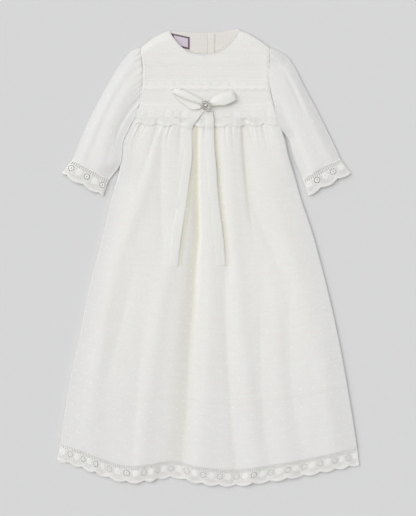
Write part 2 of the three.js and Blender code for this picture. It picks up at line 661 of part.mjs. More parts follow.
// Pattern of one lace edging: cells side by side, with a ring round a cut hole in every other
// cell and a solid round pad between them, and a scalloped lower edge. s counts cells from the
// start, v runs from the seam (0) to the scallops (1) and lift is the relief above the net.
function lacePattern(cells, firstIsRing, cellLength, depth, relief) {
  const points = [];
  const faces = [];
  const known = new Map();
  const spot = (s, v, lift) => {
    const name = `${s.toFixed(4)} ${v.toFixed(4)}`;
    if (!known.has(name)) {
      known.set(name, points.length);
      points.push({ s, v, lift });
    }
    return known.get(name);
  };
  const sides = 6;
  for (let k = 0; k < cells; k += 1) {
    const ring = (k % 2 === 0) === firstIsRing;
    const frame = [
      [1, MOTIF_CENTRE], [1, 0], [0.5, 0], [0, 0],
      [0, MOTIF_CENTRE], [0, MOTIF_DEPTH], [0.5, MOTIF_DEPTH], [1, MOTIF_DEPTH],
    ];
    const border = frame.map(([s, v]) => spot(k + s, v, 0));
    const radius = ring ? RING_HOLE : PAD_RADIUS;
    const lift = ring ? RING_RISE * relief : PAD_RISE * relief;
    const circle = [];
    for (let c = 0; c < sides; c += 1) {
      const angle = (2 * Math.PI * c) / sides;
      const s = k + 0.5 + (radius * Math.cos(angle)) / cellLength;
      const v = MOTIF_CENTRE - (radius * Math.sin(angle)) / depth;
      circle.push(spot(s, v, lift));
    }
    const [e, ne, n, nw, w, sw, south, se] = border;
    const [c0, c1, c2, c3, c4, c5] = circle;
    faces.push([e, ne, c1, c0], [ne, n, c2, c1], [n, nw, c2], [nw, w, c3, c2]);
    faces.push([w, sw, c4, c3], [sw, south, c5, c4], [south, se, c5], [se, e, c0, c5]);
    if (!ring) faces.push([c0, c1, c2, c3, c4, c5]);
    const lobe = (s) => Math.abs(Math.cos((Math.PI / 2) * (ring ? s + 0.5 : s - 0.5)));
    const edge = [0, 0.25, 0.5, 0.75, 1].map((s) => spot(k + s, 1 - SCALLOP * (1 - lobe(s)), 0));
    faces.push([sw, edge[0], edge[1]], [sw, edge[1], south], [south, edge[1], edge[2]]);
    faces.push([south, edge[2], edge[3]], [south, edge[3], se], [se, edge[3], edge[4]]);
  }
  return { points, faces };
}

// A lace strip along a seam. seam(t) gives the seam point and fall(t) the way the lace hangs.
function laceStrip({ firstIsRing, relief, depth, seam, fall, bottomOf, count }) {
  const start = seam(0);
  const end = seam(1);
  const length = Math.hypot(end.x - start.x, end.y - start.y);
  const cells = count ?? Math.round(length / LACE_CELL);
  const cellLength = length / cells;
  const pattern = lacePattern(cells, firstIsRing, cellLength, depth, relief);
  for (const point of pattern.points) {
    const t = point.s / cells;
    const from = seam(t);
    const way = fall(t);
    point.x = from.x + way.x * point.v * depth;
    point.y = from.y + way.y * point.v * depth;
    point.z = bottomOf(point, t);
  }
  const outer = (p) => new THREE.Vector3(p.x, p.y, p.z + LACE_WALL + p.lift);
  const inner = (p) => new THREE.Vector3(p.x, p.y, p.z);
  return closedWall(pattern, outer, inner);
}

// The hem's lace hangs from the skirt's lower edge
function hemLaceFront() {
  const count = hemLaceCells[hemLaceCells.length - 1].cell;
  const hemSpot = (t) => skirtSpot(readTable(hemLaceCells, 'cell', t * count, 'along'), 1, frontHem);
  const seam = (t) => {
    const spot = hemSpot(t);
    return { x: spot.x, y: spot.y - SEAM };
  };
  const fall = (t) => {
    const lean = lerp(-0.2, 0.05, t) + 0.1 * Math.sin(7 * t);
    return new THREE.Vector2(lean, -1).normalize();
  };
  const lowest = BACK_WALL + SEAM - 0.5;
  const bottomOf = (point, t) => {
    const skirt = skirtInside(hemSpot(t));
    return lerp(skirt, lerp(lowest, skirt, 0.45), point.v);
  };
  const strip = { firstIsRing: false, relief: 1, depth: HEM_LACE_DEPTH, count };
  return laceStrip({ ...strip, seam, fall, bottomOf });
}

function hemLaceBack() {
  const seam = (t) => {
    const spot = skirtSpot(t, 1, backHem);
    return { x: spot.x + BACK_INSET * (1 - 2 * t), y: spot.y - SEAM };
  };
  const fall = (t) => new THREE.Vector2(lerp(-0.12, 0.05, t), -1).normalize();
  const strip = { firstIsRing: false, relief: 0, depth: HEM_LACE_DEPTH };
  return laceStrip({ ...strip, seam, fall, bottomOf: () => 0 });
}

// The cuffs' lace: a front strip over a back strip
function cuffLace(sections, side, front) {
  const cuff = sections[sections.length - 1];
  const before = sections[sections.length - 2];
  const left = side < 0 ? { x: cuff.outerX, y: cuff.outerY } : { x: cuff.innerX, y: cuff.innerY };
  const right = side < 0 ? { x: cuff.innerX, y: cuff.innerY } : { x: cuff.outerX, y: cuff.outerY };
  const across = new THREE.Vector2(right.x - left.x, right.y - left.y).normalize();
  const down = new THREE.Vector2(across.y, -across.x);
  const inset = front ? 0.5 : 2;
  const length = Math.hypot(right.x - left.x, right.y - left.y);
  const seam = (t) => {
    const along = lerp(inset, length - inset, t);
    return {
      x: left.x + across.x * along + down.x * SEAM,
      y: left.y + across.y * along + down.y * SEAM,
    };
  };
  const fall = (t) => down.clone().addScaledVector(across, 0.3 * (t - 0.5)).normalize();
  const top = cuff.height - LACE_WALL - before.height * 0.02;
  const bottomOf = (point, t) => {
    if (!front) return 0;
    const round = (1 - Math.abs(2 * t - 1) ** 3) ** 0.5;
    return lerp(lerp(2, top, round), lerp(1.7, top - 1.2, round), point.v);
  };
  const strip = { firstIsRing: side < 0, relief: front ? 1 : 0, depth: CUFF_LACE_DEPTH };
  return laceStrip({ ...strip, seam, fall, bottomOf });
}

// Highest point of the front within reach of a place, for trim that lies on it
function frontUnder(x, y, reach) {
  let highest = 0;
  for (const dx of [-reach, 0, reach]) {
    for (const dy of [-reach, 0, reach]) {
      const at = { x: x + dx, y: y + dy };
      const left = readTable(skirtSides, 'y', at.y, 'left');
      const right = readTable(skirtSides, 'y', at.y, 'right');
      const u = clamp((at.x - left) / (right - left), 0, 1);
      const v = (WAIST_Y - at.y) / SKIRT_LENGTH;
      const z = at.y > WAIST_Y ? bodiceHeight(at) : skirtHeight({ ...at, u, v });
      highest = Math.max(highest, z);
    }
  }
  return highest;
}

function waistLace() {
  const top = 269.5;
  const left = -116;
  const right = 113;
  const seam = (t) => ({ x: lerp(left, right, t), y: top - 2 * Math.sin(Math.PI * t) });
  const fall = (t) => new THREE.Vector2(lerp(-0.32, 0.29, t), -1);
  const bottomOf = (point) => frontUnder(point.x, point.y, 6) + TRIM_LIFT;
  const strip = { firstIsRing: true, relief: 1, depth: WAIST_LACE_DEPTH };
  return laceStrip({ ...strip, seam, fall, bottomOf });
}

function yokeLace() {
  const columns = 54;
  const rows = 2;
  const top = 312;
  const depth = 20;
  const left = -111.5;
  const right = 105.5;
  const scallops = 13.5;
  const scallopDepth = 0.2;
  const pattern = gridPattern(columns, rows, (i, j) => {
    const t = i / columns;
    const notch = Math.cos(Math.PI * scallops * t) ** 2;
    const v = (j / rows) * (1 - (j === rows ? scallopDepth * notch : 0));
    return { x: lerp(left, right, t), y: top - depth * v };
  });
  const seat = (spot) => frontUnder(spot.x, spot.y, 4) + TRIM_LIFT;
  const outer = (spot) => new THREE.Vector3(spot.x, spot.y, seat(spot) + LACE_WALL);
  const inner = (spot) => new THREE.Vector3(spot.x, spot.y, seat(spot));
  return closedWall(pattern, outer, inner);
}

// A ribbon loop: a strip that runs out, turns over at its tip and comes back beneath
function ribbonLoop(sections, side) {
  const across = 3;
  const middle = sections.map((row) => new THREE.Vector3(
    (row.upperX + row.lowerX) / 2,
    (row.upperY + row.lowerY) / 2,
    row.z,
  ));
  const pattern = gridPattern(across, sections.length - 1, (i, j) => ({ i, j }));
  const face = ({ i, j }, out) => {
    const row = sections[j];
    const before = middle[Math.max(j - 1, 0)];
    const after = middle[Math.min(j + 1, sections.length - 1)];
    const way = after.clone().sub(before);
    const width = new THREE.Vector3(row.lowerX - row.upperX, row.lowerY - row.upperY, 0);
    const normal = new THREE.Vector3().crossVectors(way, width).normalize().multiplyScalar(-side);
    const t = i / across;
    const crown = 0.8 * Math.sin(Math.PI * t);
    return new THREE.Vector3(
      lerp(row.upperX, row.lowerX, t),
      lerp(row.upperY, row.lowerY, t),
      row.z,
    ).addScaledVector(normal, crown + out * RIBBON_WALL);
  };
  const first = (spot) => face(spot, 0.5);
  const second = (spot) => face(spot, -0.5);
  return closedWall(pattern, side < 0 ? first : second, side < 0 ? second : first);
}

// A ribbon tail lies on the skirt from the knot down
function ribbonTail(edges) {
  const across = 2;
  const rows = 20;
  const top = edges[0].y;
  const foot = edges[edges.length - 1].y;
  const pattern = gridPattern(across, rows, (i, j) => {
    const y = lerp(top, foot, j / rows);
    const left = readTable(edges, 'y', y, 'left');
    const right = readTable(edges, 'y', y, 'right');
    return { x: lerp(left, right, i / across), y, j };
  });
  const seat = (spot) => {
    const lace = spot.y > 226 ? LACE_WALL + PAD_RISE + TRIM_LIFT : 0;
    return frontUnder(spot.x, spot.y, 5) + TRIM_LIFT + lace;
  };
  const outer = (spot) => new THREE.Vector3(spot.x, spot.y, seat(spot) + RIBBON_WALL);
  const inner = (spot) => new THREE.Vector3(spot.x, spot.y, seat(spot));
  return closedWall(pattern, outer, inner);
}

// The knot: a short band of ribbon under the brooch
function bowKnot() {
  const profile = [
    [0, 10.4], [6.4, 10.4], [7.3, 11.6], [7.3, 14.2], [5.8, 15.6], [0, 15.9],
  ].map(([r, z]) => new THREE.Vector2(r, z));
  const geometry = new THREE.LatheGeometry(profile, 14);
  geometry.rotateX(Math.PI / 2);
  geometry.translate(BROOCH_X, BROOCH_Y, 0);
  return geometry;
}

// The brooch: a domed setting with a raised rim
function broochBase() {
  const r = BROOCH_RADIUS;
  const profile = [
    [0, 0], [r - 0.6, 0], [r, 0.6], [r, 1.4], [r - 0.7, 1.9], [r - 1, 1.5], [0, 1.5],
  ].map(([radius, z]) => new THREE.Vector2(radius, BROOCH_Z + z));
  const geometry = new THREE.LatheGeometry(profile, 20);
  geometry.rotateX(Math.PI / 2);
  geometry.translate(BROOCH_X, BROOCH_Y, 0);
  return geometry;
}

// A cut stone: a flat table, a crown and a short girdle
function stone(radius, x, y) {
  const seat = BROOCH_Z + 1.5 + SEAM;
  const profile = [
    [0, 0], [radius * 0.7, 0], [radius, radius * 0.35], [radius * 0.55, radius * 0.85], [0, radius * 0.85],
  ].map(([r, z]) => new THREE.Vector2(r, seat + z));
  const geometry = new THREE.LatheGeometry(profile, 8);
  geometry.rotateX(Math.PI / 2);
  geometry.translate(x, y, 0);
  return geometry;
}

const finishes = {
  cloth: { color: 0xf3f1ea, roughness: 0.9, metalness: 0 },
  lining: { color: 0xeeebe2, roughness: 0.85, metalness: 0 },
  lace: { color: 0xf4f1e8, roughness: 0.85, metalness: 0 },
  ribbon: { color: 0xf3f0e4, roughness: 0.5, metalness: 0 },
  label: { color: 0xd9cfd8, roughness: 0.8, metalness: 0 },
  silver: { color: 0xb9b9bd, roughness: 0.3, metalness: 1 },
  stone: { color: 0xd8dbe0, roughness: 0.05, metalness: 0.1 },
};

const gown = new THREE.Group();

function addPiece(name, geometry, finish) {
  const mesh = new THREE.Mesh(geometry, new THREE.MeshStandardMaterial(finishes[finish]));
  mesh.name = name;
  gown.add(mesh);
}

addPiece('bodice_front', bodiceFront(), 'cloth');
addPiece('bodice_back_left', bodiceBack(-1), 'lining');
addPiece('bodice_back_right', bodiceBack(1), 'lining');
addPiece('back_placket', backPlacket(), 'lining');
addPiece('neck_label', neckLabel(), 'label');
addPiece('sleeve_left', sleeve(sleeveLeft, sleeveFoldsLeft, -1), 'cloth');
addPiece('sleeve_right', sleeve(sleeveRight, sleeveFoldsRight, 1), 'cloth');
addPiece('skirt_front', skirtFront(), 'cloth');
addPiece('skirt_back', skirtBack(), 'cloth');
addPiece('yoke_lace', yokeLace(), 'lace');
addPiece('waist_lace', waistLace(), 'lace');
addPiece('hem_lace_front', hemLaceFront(), 'lace');
addPiece('hem_lace_back', hemLaceBack(), 'lace');
addPiece('cuff_lace_left_front', cuffLace(sleeveLeft, -1, true), 'lace');
addPiece('cuff_lace_left_back', cuffLace(sleeveLeft, -1, false), 'lace');
addPiece('cuff_lace_right_front', cuffLace(sleeveRight, 1, true), 'lace');
addPiece('cuff_lace_right_back', cuffLace(sleeveRight, 1, false), 'lace');
addPiece('bow_loop_left', ribbonLoop(loopLeft, -1), 'ribbon');
addPiece('bow_loop_right', ribbonLoop(loopRight, 1), 'ribbon');
addPiece('bow_knot', bowKnot(), 'ribbon');
addPiece('bow_tail_left', ribbonTail(tailLeft), 'ribbon');
addPiece('bow_tail_right', ribbonTail(tailRight), 'ribbon');
addPiece('brooch_base', broochBase(), 'silver');
addPiece('brooch_stone_centre', stone(CENTRE_STONE_RADIUS, BROOCH_X, BROOCH_Y), 'stone');
for (let k = 0; k < RIM_STONES; k += 1) {
  const angle = (2 * Math.PI * k) / RIM_STONES;
  const x = BROOCH_X + RIM_STONE_CIRCLE * Math.cos(angle);
  const y = BROOCH_Y + RIM_STONE_CIRCLE * Math.sin(angle);
  addPiece(`brooch_stone_${k + 1}`, stone(RIM_STONE_RADIUS, x, y), 'stone');
}

// The origin is on the table under the middle of the whole gown
const box = new THREE.Box3().setFromObject(gown);
gown.position.set(-(box.min.x + box.max.x) / 2, -(box.min.y + box.max.y) / 2, -box.min.z);
gown.updateMatrixWorld(true);

export default gown;
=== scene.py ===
# %% [markdown]
# # A christening gown laid flat
# This lesson dresses a packed CAD model of a baby's long gown. The CAD model gives the true sizes and
# places. Each cell makes one piece of the real gown: its cloth, its lace, its ribbon or its brooch.
# The gown lies on its back on a pale table, and the camera looks straight down on it.

import math

import bmesh
import bpy
from mathutils import Matrix, Vector, noise


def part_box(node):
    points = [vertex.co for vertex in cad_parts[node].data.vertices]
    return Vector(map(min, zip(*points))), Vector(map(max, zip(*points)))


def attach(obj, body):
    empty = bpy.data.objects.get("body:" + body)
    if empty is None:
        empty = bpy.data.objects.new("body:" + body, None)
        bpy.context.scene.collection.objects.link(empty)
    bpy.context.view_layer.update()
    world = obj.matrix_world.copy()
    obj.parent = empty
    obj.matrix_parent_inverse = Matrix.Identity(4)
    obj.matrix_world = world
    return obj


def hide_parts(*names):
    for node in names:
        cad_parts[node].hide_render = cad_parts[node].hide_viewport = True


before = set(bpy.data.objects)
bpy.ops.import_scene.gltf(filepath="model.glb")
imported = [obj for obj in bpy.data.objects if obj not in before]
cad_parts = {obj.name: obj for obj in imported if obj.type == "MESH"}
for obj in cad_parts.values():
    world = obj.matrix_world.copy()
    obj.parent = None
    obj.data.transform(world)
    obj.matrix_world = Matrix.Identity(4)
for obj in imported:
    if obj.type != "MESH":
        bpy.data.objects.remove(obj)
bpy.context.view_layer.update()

# %% [markdown]
# The sizes below are the gown's own, in millimetres from its pattern's origin. The packed model is
# centred on its outline, so the brooch, whose place in the pattern is known, tells how far the packed
# model was moved. With that shift every point of the pattern can be put in the frame.

# %% From the pattern's millimetres to the frame's metres
BROOCH_X = -3.1
BROOCH_Y = 265.0
brooch_low, brooch_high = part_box("brooch_base")
SHIFT_X = 500 * (brooch_low.x + brooch_high.x) - BROOCH_X
SHIFT_Y = 500 * (brooch_low.y + brooch_high.y) - BROOCH_Y
print("pattern moved by", round(SHIFT_X, 2), round(SHIFT_Y, 2))


def place(x, y, z):
    return Vector((x + SHIFT_X, y + SHIFT_Y, z)) / 1000


# %% Help for numbers and tables
def mix(a, b, t):
    return a + (b - a) * t


def clamp(value, low=0.0, high=1.0):
    return max(low, min(high, value))


def ease(value, low, high):
    t = clamp((value - low) / (high - low))
    return t * t * (3 - 2 * t)


def read(table, key, value, column):
    """One column of a table, read smoothly between its rows."""
    keys, values = table[key], table[column]
    if keys[0] > keys[-1]:
        keys, values = keys[::-1], values[::-1]
    value = clamp(value, keys[0], keys[-1])
    last = len(keys) - 1
    k = 0
    while k < last - 1 and keys[k + 1] < value:
        k += 1

    def slope(i):
        before, after = max(i - 1, 0), min(i + 1, last)
        return (values[after] - values[before]) / (keys[after] - keys[before])

    span = keys[k + 1] - keys[k]
    t = (value - keys[k]) / span
    bend = span * t * (1 - t) * ((1 - t) * slope(k) - t * slope(k + 1))
    return mix(values[k], values[k + 1], t * t * (3 - 2 * t)) + bend


print("half way along a curve:", read({"at": [0, 1, 2], "height": [0, 3, 4]}, "at", 0.5, "height"))

# %% [markdown]
# A photograph taken from a ladder with a long lens shows almost no perspective. A camera three metres
# up with a long lens does the same. Its lens is worked out from the height of the picture.

# %% Camera straight above
FRAME_HEIGHT = 0.903
CAMERA_HEIGHT = 3.0
CLOTH_HEIGHT = 0.005
SENSOR = 36.0
camera_data = bpy.data.cameras.new("camera_above")
camera = bpy.data.objects.new("camera_above", camera_data)
bpy.context.scene.collection.objects.link(camera)
camera_data.sensor_width = SENSOR
camera_data.lens = SENSOR * (CAMERA_HEIGHT - CLOTH_HEIGHT) / FRAME_HEIGHT
camera.location = (0.0, 0.0, CAMERA_HEIGHT)
bpy.context.scene.camera = camera
print("lens", round(camera_data.lens, 1), "mm")

# %% [markdown]
# The light is plain and soft. A wide lamp hangs straight above and a smaller one stands up and to the
# left, so every fold has a bright left flank and a dim right one, and the gown throws a soft shadow to
# the right and down. A third, weak and low, draws that shadow out. All are suns, because a sun lights the
# whole table evenly, where a near lamp would fade across it. A pale sky fills the shadows. The light is
# a little cool, because the cloth is warm.

# %% Light, sky and table
scene = bpy.context.scene
scene.view_settings.view_transform = "Standard"
world = bpy.data.worlds.new("pale_sky")
world.use_nodes = True
sky = world.node_tree.nodes["Background"]
COOL_WHITE = (0.972, 0.985, 1.03)
SKY_STRENGTH = 0.25
sky.inputs["Color"].default_value = (*COOL_WHITE, 1)
sky.inputs["Strength"].default_value = SKY_STRENGTH
scene.world = world


def soft_sun(name, way, share, spread):
    """A sun that adds share to the light on the flat table, wherever it stands in the sky."""
    data = bpy.data.lights.new(name, "SUN")
    way = Vector(way).normalized()
    data.energy = math.pi * share / -way.z
    data.angle = math.radians(spread)
    data.color = COOL_WHITE
    lamp = bpy.data.objects.new(name, data)
    scene.collection.objects.link(lamp)
    lamp.rotation_euler = way.to_track_quat("-Z", "Y").to_euler()


lamps = [
    ("wide_lamp_above", (0.05, -0.1, -1.0), 0.37, 115),
    ("soft_lamp_left", (0.85, -0.5, -0.83), 0.22, 60),
    ("low_lamp_left", (1.0, -0.55, -0.42), 0.065, 70),
]
for lamp in lamps:
    soft_sun(*lamp)
print("light on the table", round(SKY_STRENGTH + sum(share for _, _, share, _ in lamps), 3))

# %% [markdown]
# Materials come next. Effects that several cloths share are node groups. Each group gives only heights
# and masks, and every material mixes its own colours with them. Adding nodes one by one takes many lines,
# so a few helpers come first: one starts a group, one gives short names to nodes, one starts a material.


# %% Start a node group
def new_group(name, inputs, outputs):
    group = bpy.data.node_groups.new(name, "ShaderNodeTree")
    for label, kind, value in inputs:
        socket = group.interface.new_socket(label, in_out="INPUT", socket_type=kind)
        if value is not None:
            socket.default_value = value
    for label, kind in outputs:
        group.interface.new_socket(label, in_out="OUTPUT", socket_type=kind)
    return group, group.nodes.new("NodeGroupInput"), group.nodes.new("NodeGroupOutput")


print("node groups so far:", len(bpy.data.node_groups))


# %% Short names for nodes
class Nodes:
    """Short names for the few kinds of node that the groups and materials use."""

    def __init__(self, tree):
        self.tree = tree

    def set(self, socket, value):
        if isinstance(value, bpy.types.NodeSocket):
            self.tree.links.new(value, socket)
        elif value is not None:
            socket.default_value = value

    def math(self, operation, a, b=None, c=None, limit=False):
        node = self.tree.nodes.new("ShaderNodeMath")
        node.operation = operation
        node.use_clamp = limit
        for socket, value in zip(node.inputs, (a, b, c)):
            self.set(socket, value)
        return node.outputs[0]

    def vector(self, operation, a, b=None):
        node = self.tree.nodes.new("ShaderNodeVectorMath")
        node.operation = operation
        self.set(node.inputs[0], a)
        self.set(node.inputs[1], b)
        return node.outputs["Value"] if operation in ("LENGTH", "DOT_PRODUCT") else node.outputs[0]

    def split(self, vector):
        node = self.tree.nodes.new("ShaderNodeSeparateXYZ")
        self.set(node.inputs[0], vector)
        return node.outputs

    def join(self, x, y, z=0.0):
        node = self.tree.nodes.new("ShaderNodeCombineXYZ")
        for socket, value in zip(node.inputs, (x, y, z)):
            self.set(socket, value)
        return node.outputs[0]

    def noise(self, vector, scale, detail=2.0, roughness=0.5):
        node = self.tree.nodes.new("ShaderNodeTexNoise")
        self.set(node.inputs["Vector"], vector)
        self.set(node.inputs["Scale"], scale)
        self.set(node.inputs["Detail"], detail)
        self.set(node.inputs["Roughness"], roughness)
        return node.outputs["Fac"]

    def step(self, value, low, high):
        node = self.tree.nodes.new("ShaderNodeMapRange")
        node.interpolation_type = "SMOOTHSTEP"
        self.set(node.inputs["Value"], value)
        self.set(node.inputs["From Min"], low)
        self.set(node.inputs["From Max"], high)
        return node.outputs["Result"]

    def colour(self, factor, a, b):
        node = self.tree.nodes.new("ShaderNodeMix")
        node.data_type = "RGBA"
        self.set(node.inputs["Factor"], factor)
        self.set(node.inputs["A"], a)
        self.set(node.inputs["B"], b)
        return node.outputs["Result"]

    def bump(self, height, strength, distance):
        node = self.tree.nodes.new("ShaderNodeBump")
        self.set(node.inputs["Height"], height)
        node.inputs["Strength"].default_value = strength
        node.inputs["Distance"].default_value = distance
        return node.outputs["Normal"]

    def group(self, tree, **values):
        node = self.tree.nodes.new("ShaderNodeGroup")
        node.node_tree = tree
        for label, value in values.items():
            self.set(node.inputs[label.replace("_", " ")], value)
        return node.outputs


print("node helpers:", [word for word in vars(Nodes) if not word.startswith("_")])


# %% Start a material
def new_material(name, roughness, **constants):
    """A material, its helper, its shader and the cloth's own flat coordinates."""
    material = bpy.data.materials.new(name)
    material.use_nodes = True
    nodes = Nodes(material.node_tree)
    shader = material.node_tree.nodes["Principled BSDF"]
    shader.inputs["Roughness"].default_value = roughness
    for label, value in constants.items():
        shader.inputs[label.replace("_", " ")].default_value = value
    flat = material.node_tree.nodes.new("ShaderNodeUVMap")
    flat.uv_map = "cut"
    return material, nodes, shader, flat.outputs[0]


print("materials so far:", len(bpy.data.materials))

# %% [markdown]
# Fine cotton is woven from warp and weft threads. Seen from above they are too small to count, but they
# break up the light, and thicker weft threads show as faint rows. Two waves make the threads, and a
# noise stretched along the weft makes the rows.

# %% Group: woven threads
weave, given, result = new_group(
    "woven_threads",
    [
        ("Flat", "NodeSocketVector", None),
        ("Thread", "NodeSocketFloat", 0.0008),
        ("Row", "NodeSocketFloat", 0.008),
    ],
    [("Height", "NodeSocketFloat"), ("Rows", "NodeSocketFloat")],
)
n = Nodes(weave)
STREAKS_PER_METRE = 16.0
THREAD_SHARE, ROW_SHARE = 0.4, 1.3
across, along, _ = n.split(given.outputs["Flat"])
turns = n.math("DIVIDE", 2 * math.pi, given.outputs["Thread"])
warp = n.math("SINE", n.math("MULTIPLY", across, turns))
weft = n.math("SINE", n.math("MULTIPLY", along, turns))
threads = n.math("ABSOLUTE", n.math("MULTIPLY", warp, weft))
per_row = n.math("DIVIDE", 1.0, given.outputs["Row"])
stretched = n.join(n.math("MULTIPLY", across, STREAKS_PER_METRE), n.math("MULTIPLY", along, per_row))
rows = n.noise(stretched, 2.2, 4.0, 0.7)
height = n.math("ADD", n.math("MULTIPLY", threads, THREAD_SHARE), n.math("MULTIPLY", rows, ROW_SHARE))
n.set(result.inputs["Height"], height)
n.set(result.inputs["Rows"], rows)
print(weave.name, len(weave.nodes), "nodes")

# %% [markdown]
# The dots of this cloth are small tufts that stand up from it, in staggered rows. Each cell of a brick
# pattern holds one oval. The oval's place inside its cell is measured, and a smooth step turns the
# distance into a mask with soft edges. A wider, softer ring round each dot is a mask for painted shade
# around the tuft.

# %% Group: tufted dots
dots, given, result = new_group(
    "tufted_dots",
    [
        ("Flat", "NodeSocketVector", None),
        ("Pitch", "NodeSocketFloat", 0.022),
        ("Row", "NodeSocketFloat", 0.0155),
        ("Width", "NodeSocketFloat", 0.0055),
    ],
    [("Dot", "NodeSocketFloat"), ("Halo", "NodeSocketFloat")],
)
n = Nodes(dots)
OVAL = 0.75
across, along, _ = n.split(given.outputs["Flat"])
row = n.math("DIVIDE", along, given.outputs["Row"])
half = n.math("MULTIPLY", n.math("FLOORED_MODULO", n.math("FLOOR", row), 2.0), 0.5)
column = n.math("ADD", n.math("DIVIDE", across, given.outputs["Pitch"]), half)
off_x = n.math("MULTIPLY", n.math("SUBTRACT", n.math("FRACT", column), 0.5), given.outputs["Pitch"])
off_y = n.math("MULTIPLY", n.math("SUBTRACT", n.math("FRACT", row), 0.5), given.outputs["Row"])
reach = n.math("MULTIPLY", given.outputs["Width"], 0.5)
away = n.vector("LENGTH", n.join(
    n.math("DIVIDE", off_x, reach),
    n.math("DIVIDE", off_y, n.math("MULTIPLY", reach, OVAL)),
))
n.set(result.inputs["Dot"], n.math("SUBTRACT", 1.0, n.step(away, 0.55, 1.15)))
n.set(result.inputs["Halo"], n.math("SUBTRACT", 1.0, n.step(away, 0.9, 1.9)))
print(dots.name, len(dots.nodes), "nodes")

# %% [markdown]
# Cloth is never one flat tone. It has been folded, pressed and handled. A slow noise gives faint clouds
# and the small dents that pressing leaves.

# %% Group: pressed cloth
pressed, given, result = new_group(
    "pressed_cloth",
    [("Place", "NodeSocketVector", None)],
    [("Cloud", "NodeSocketFloat"), ("Dent", "NodeSocketFloat")],
)
n = Nodes(pressed)
n.set(result.inputs["Cloud"], n.noise(given.outputs["Place"], 14.0, 3.0, 0.55))
n.set(result.inputs["Dent"], n.noise(given.outputs["Place"], 55.0, 3.0, 0.5))
print(pressed.name, len(pressed.nodes), "nodes")


# %% [markdown]
# The gown is made of dotted cotton over a plain cotton lining. Both are nearly white and matt, with a
# little sheen from the loose fibres. The dots catch more light than the ground between them. Two values
# that each cloth stores on its own mesh tint it. The first is greyer where the table shows through
# unlined cloth, and it also darkens the rims and the lower skirt as painted shade. The second, crease,
# is painted shade: it makes the cloth darker and warmer in its folds and beside the ribbon's tails, for
# the shade there and the light that bounces between them.


# %% Cotton cloths
def object_place(nodes):
    return nodes.tree.nodes.new("ShaderNodeTexCoord").outputs["Object"]


# Painted shade: the tint that darkens and warms the cloth in its folds and beside the tails.
FOLD_SHADE_TINT = (0.90, 0.882, 0.765)
DEEPER_TINT = (0.945, 0.94, 0.925)
DOT_COLOUR = (0.955, 0.945, 0.90, 1)
DOT_STRENGTH, SHADE_RING_STRENGTH = 0.42, 0.25
BUMP_DEPTH = 0.0003


def stored(nodes, name):
    """A value that each vertex of the piece keeps."""
    attribute = nodes.tree.nodes.new("ShaderNodeAttribute")
    attribute.attribute_name = name
    return attribute.outputs["Fac"]


def cotton(name, warm, pale, dotted, lift):
    """Warm where the lining backs the cloth, greyer where the table shows through it and as painted shade
    on the rims and the lower skirt; darker and warmer as painted shade in the folds.
    """
    material, n, shader, flat = new_material(
        name, 0.85, Sheen_Weight=0.15, Sheen_Roughness=0.5, Specular_IOR_Level=0.2,
    )
    threads = n.group(weave, Flat=flat, Thread=0.0011, Row=0.008)
    press = n.group(pressed, Place=object_place(n))
    rows = n.step(threads["Rows"], 0.32, 0.68)
    tone = n.math("ADD", n.math("MULTIPLY", press["Cloud"], 0.6), n.math("MULTIPLY", rows, 0.4))
    # Painted shade, in part: unlined cloth is greyer, and the same mask darkens the rims and the lower
    # skirt.
    shade = n.colour(stored(n, "lined"), pale, warm)
    # Painted shade: darker and warmer in the folds and beside the ribbon's tails.
    shade = n.colour(stored(n, "crease"), shade, n.vector("MULTIPLY", shade, FOLD_SHADE_TINT))
    deeper = n.vector("MULTIPLY", shade, DEEPER_TINT)
    shade = n.colour(n.math("SUBTRACT", tone, 0.02, limit=True), deeper, shade)
    height = n.math("ADD", threads["Height"], n.math("MULTIPLY", press["Dent"], 0.9))
    if dotted:
        dot = n.group(dots, Flat=flat, Pitch=0.022, Row=0.0155, Width=0.0052)
        # Painted shade: a faint darker ring round each raised dot.
        shade_ring = n.math("MULTIPLY", n.math("SUBTRACT", dot["Halo"], dot["Dot"], limit=True), SHADE_RING_STRENGTH)
        shade = n.colour(shade_ring, shade, deeper)
        shade = n.colour(n.math("MULTIPLY", dot["Dot"], DOT_STRENGTH), shade, DOT_COLOUR)
        height = n.math("ADD", height, n.math("MULTIPLY", dot["Dot"], 0.8))
    n.set(shader.inputs["Base Color"], shade)
    n.set(shader.inputs["Normal"], n.bump(height, lift, BUMP_DEPTH))
    return material


plumeti = cotton("plumeti_cotton", (0.925, 0.908, 0.848, 1), (0.838, 0.825, 0.795, 1), True, 0.5)
# Painted shade, in part: the lining is creamier than the top cloth, and it is also made darker to stand in
# for the shade inside the neck.
batiste = cotton("batiste_lining", (0.865, 0.83, 0.76, 1), (0.86, 0.835, 0.785, 1), False, 0.4)
print("cloths", plumeti.name, batiste.name)

# %% [markdown]
# The lace is made of twisted cotton thread. The ribbon is satin: its fine crosswise ribs spread the
# light into a soft band. The label is woven too, with a darker border; at its left the border is drawn
# wider as painted shadow from the neckline.

# %% Lace and ribbon
RIB = 0.0009
lace_thread, n, shader, flat = new_material(
    "lace_thread", 0.8, Sheen_Weight=0.2, Specular_IOR_Level=0.3,
)
twist = n.noise(object_place(n), 900.0, 2.0, 0.6)
n.set(shader.inputs["Base Color"], n.colour(twist, (0.92, 0.902, 0.838, 1), (0.948, 0.932, 0.876, 1)))
n.set(shader.inputs["Normal"], n.bump(twist, 0.3, 0.0002))

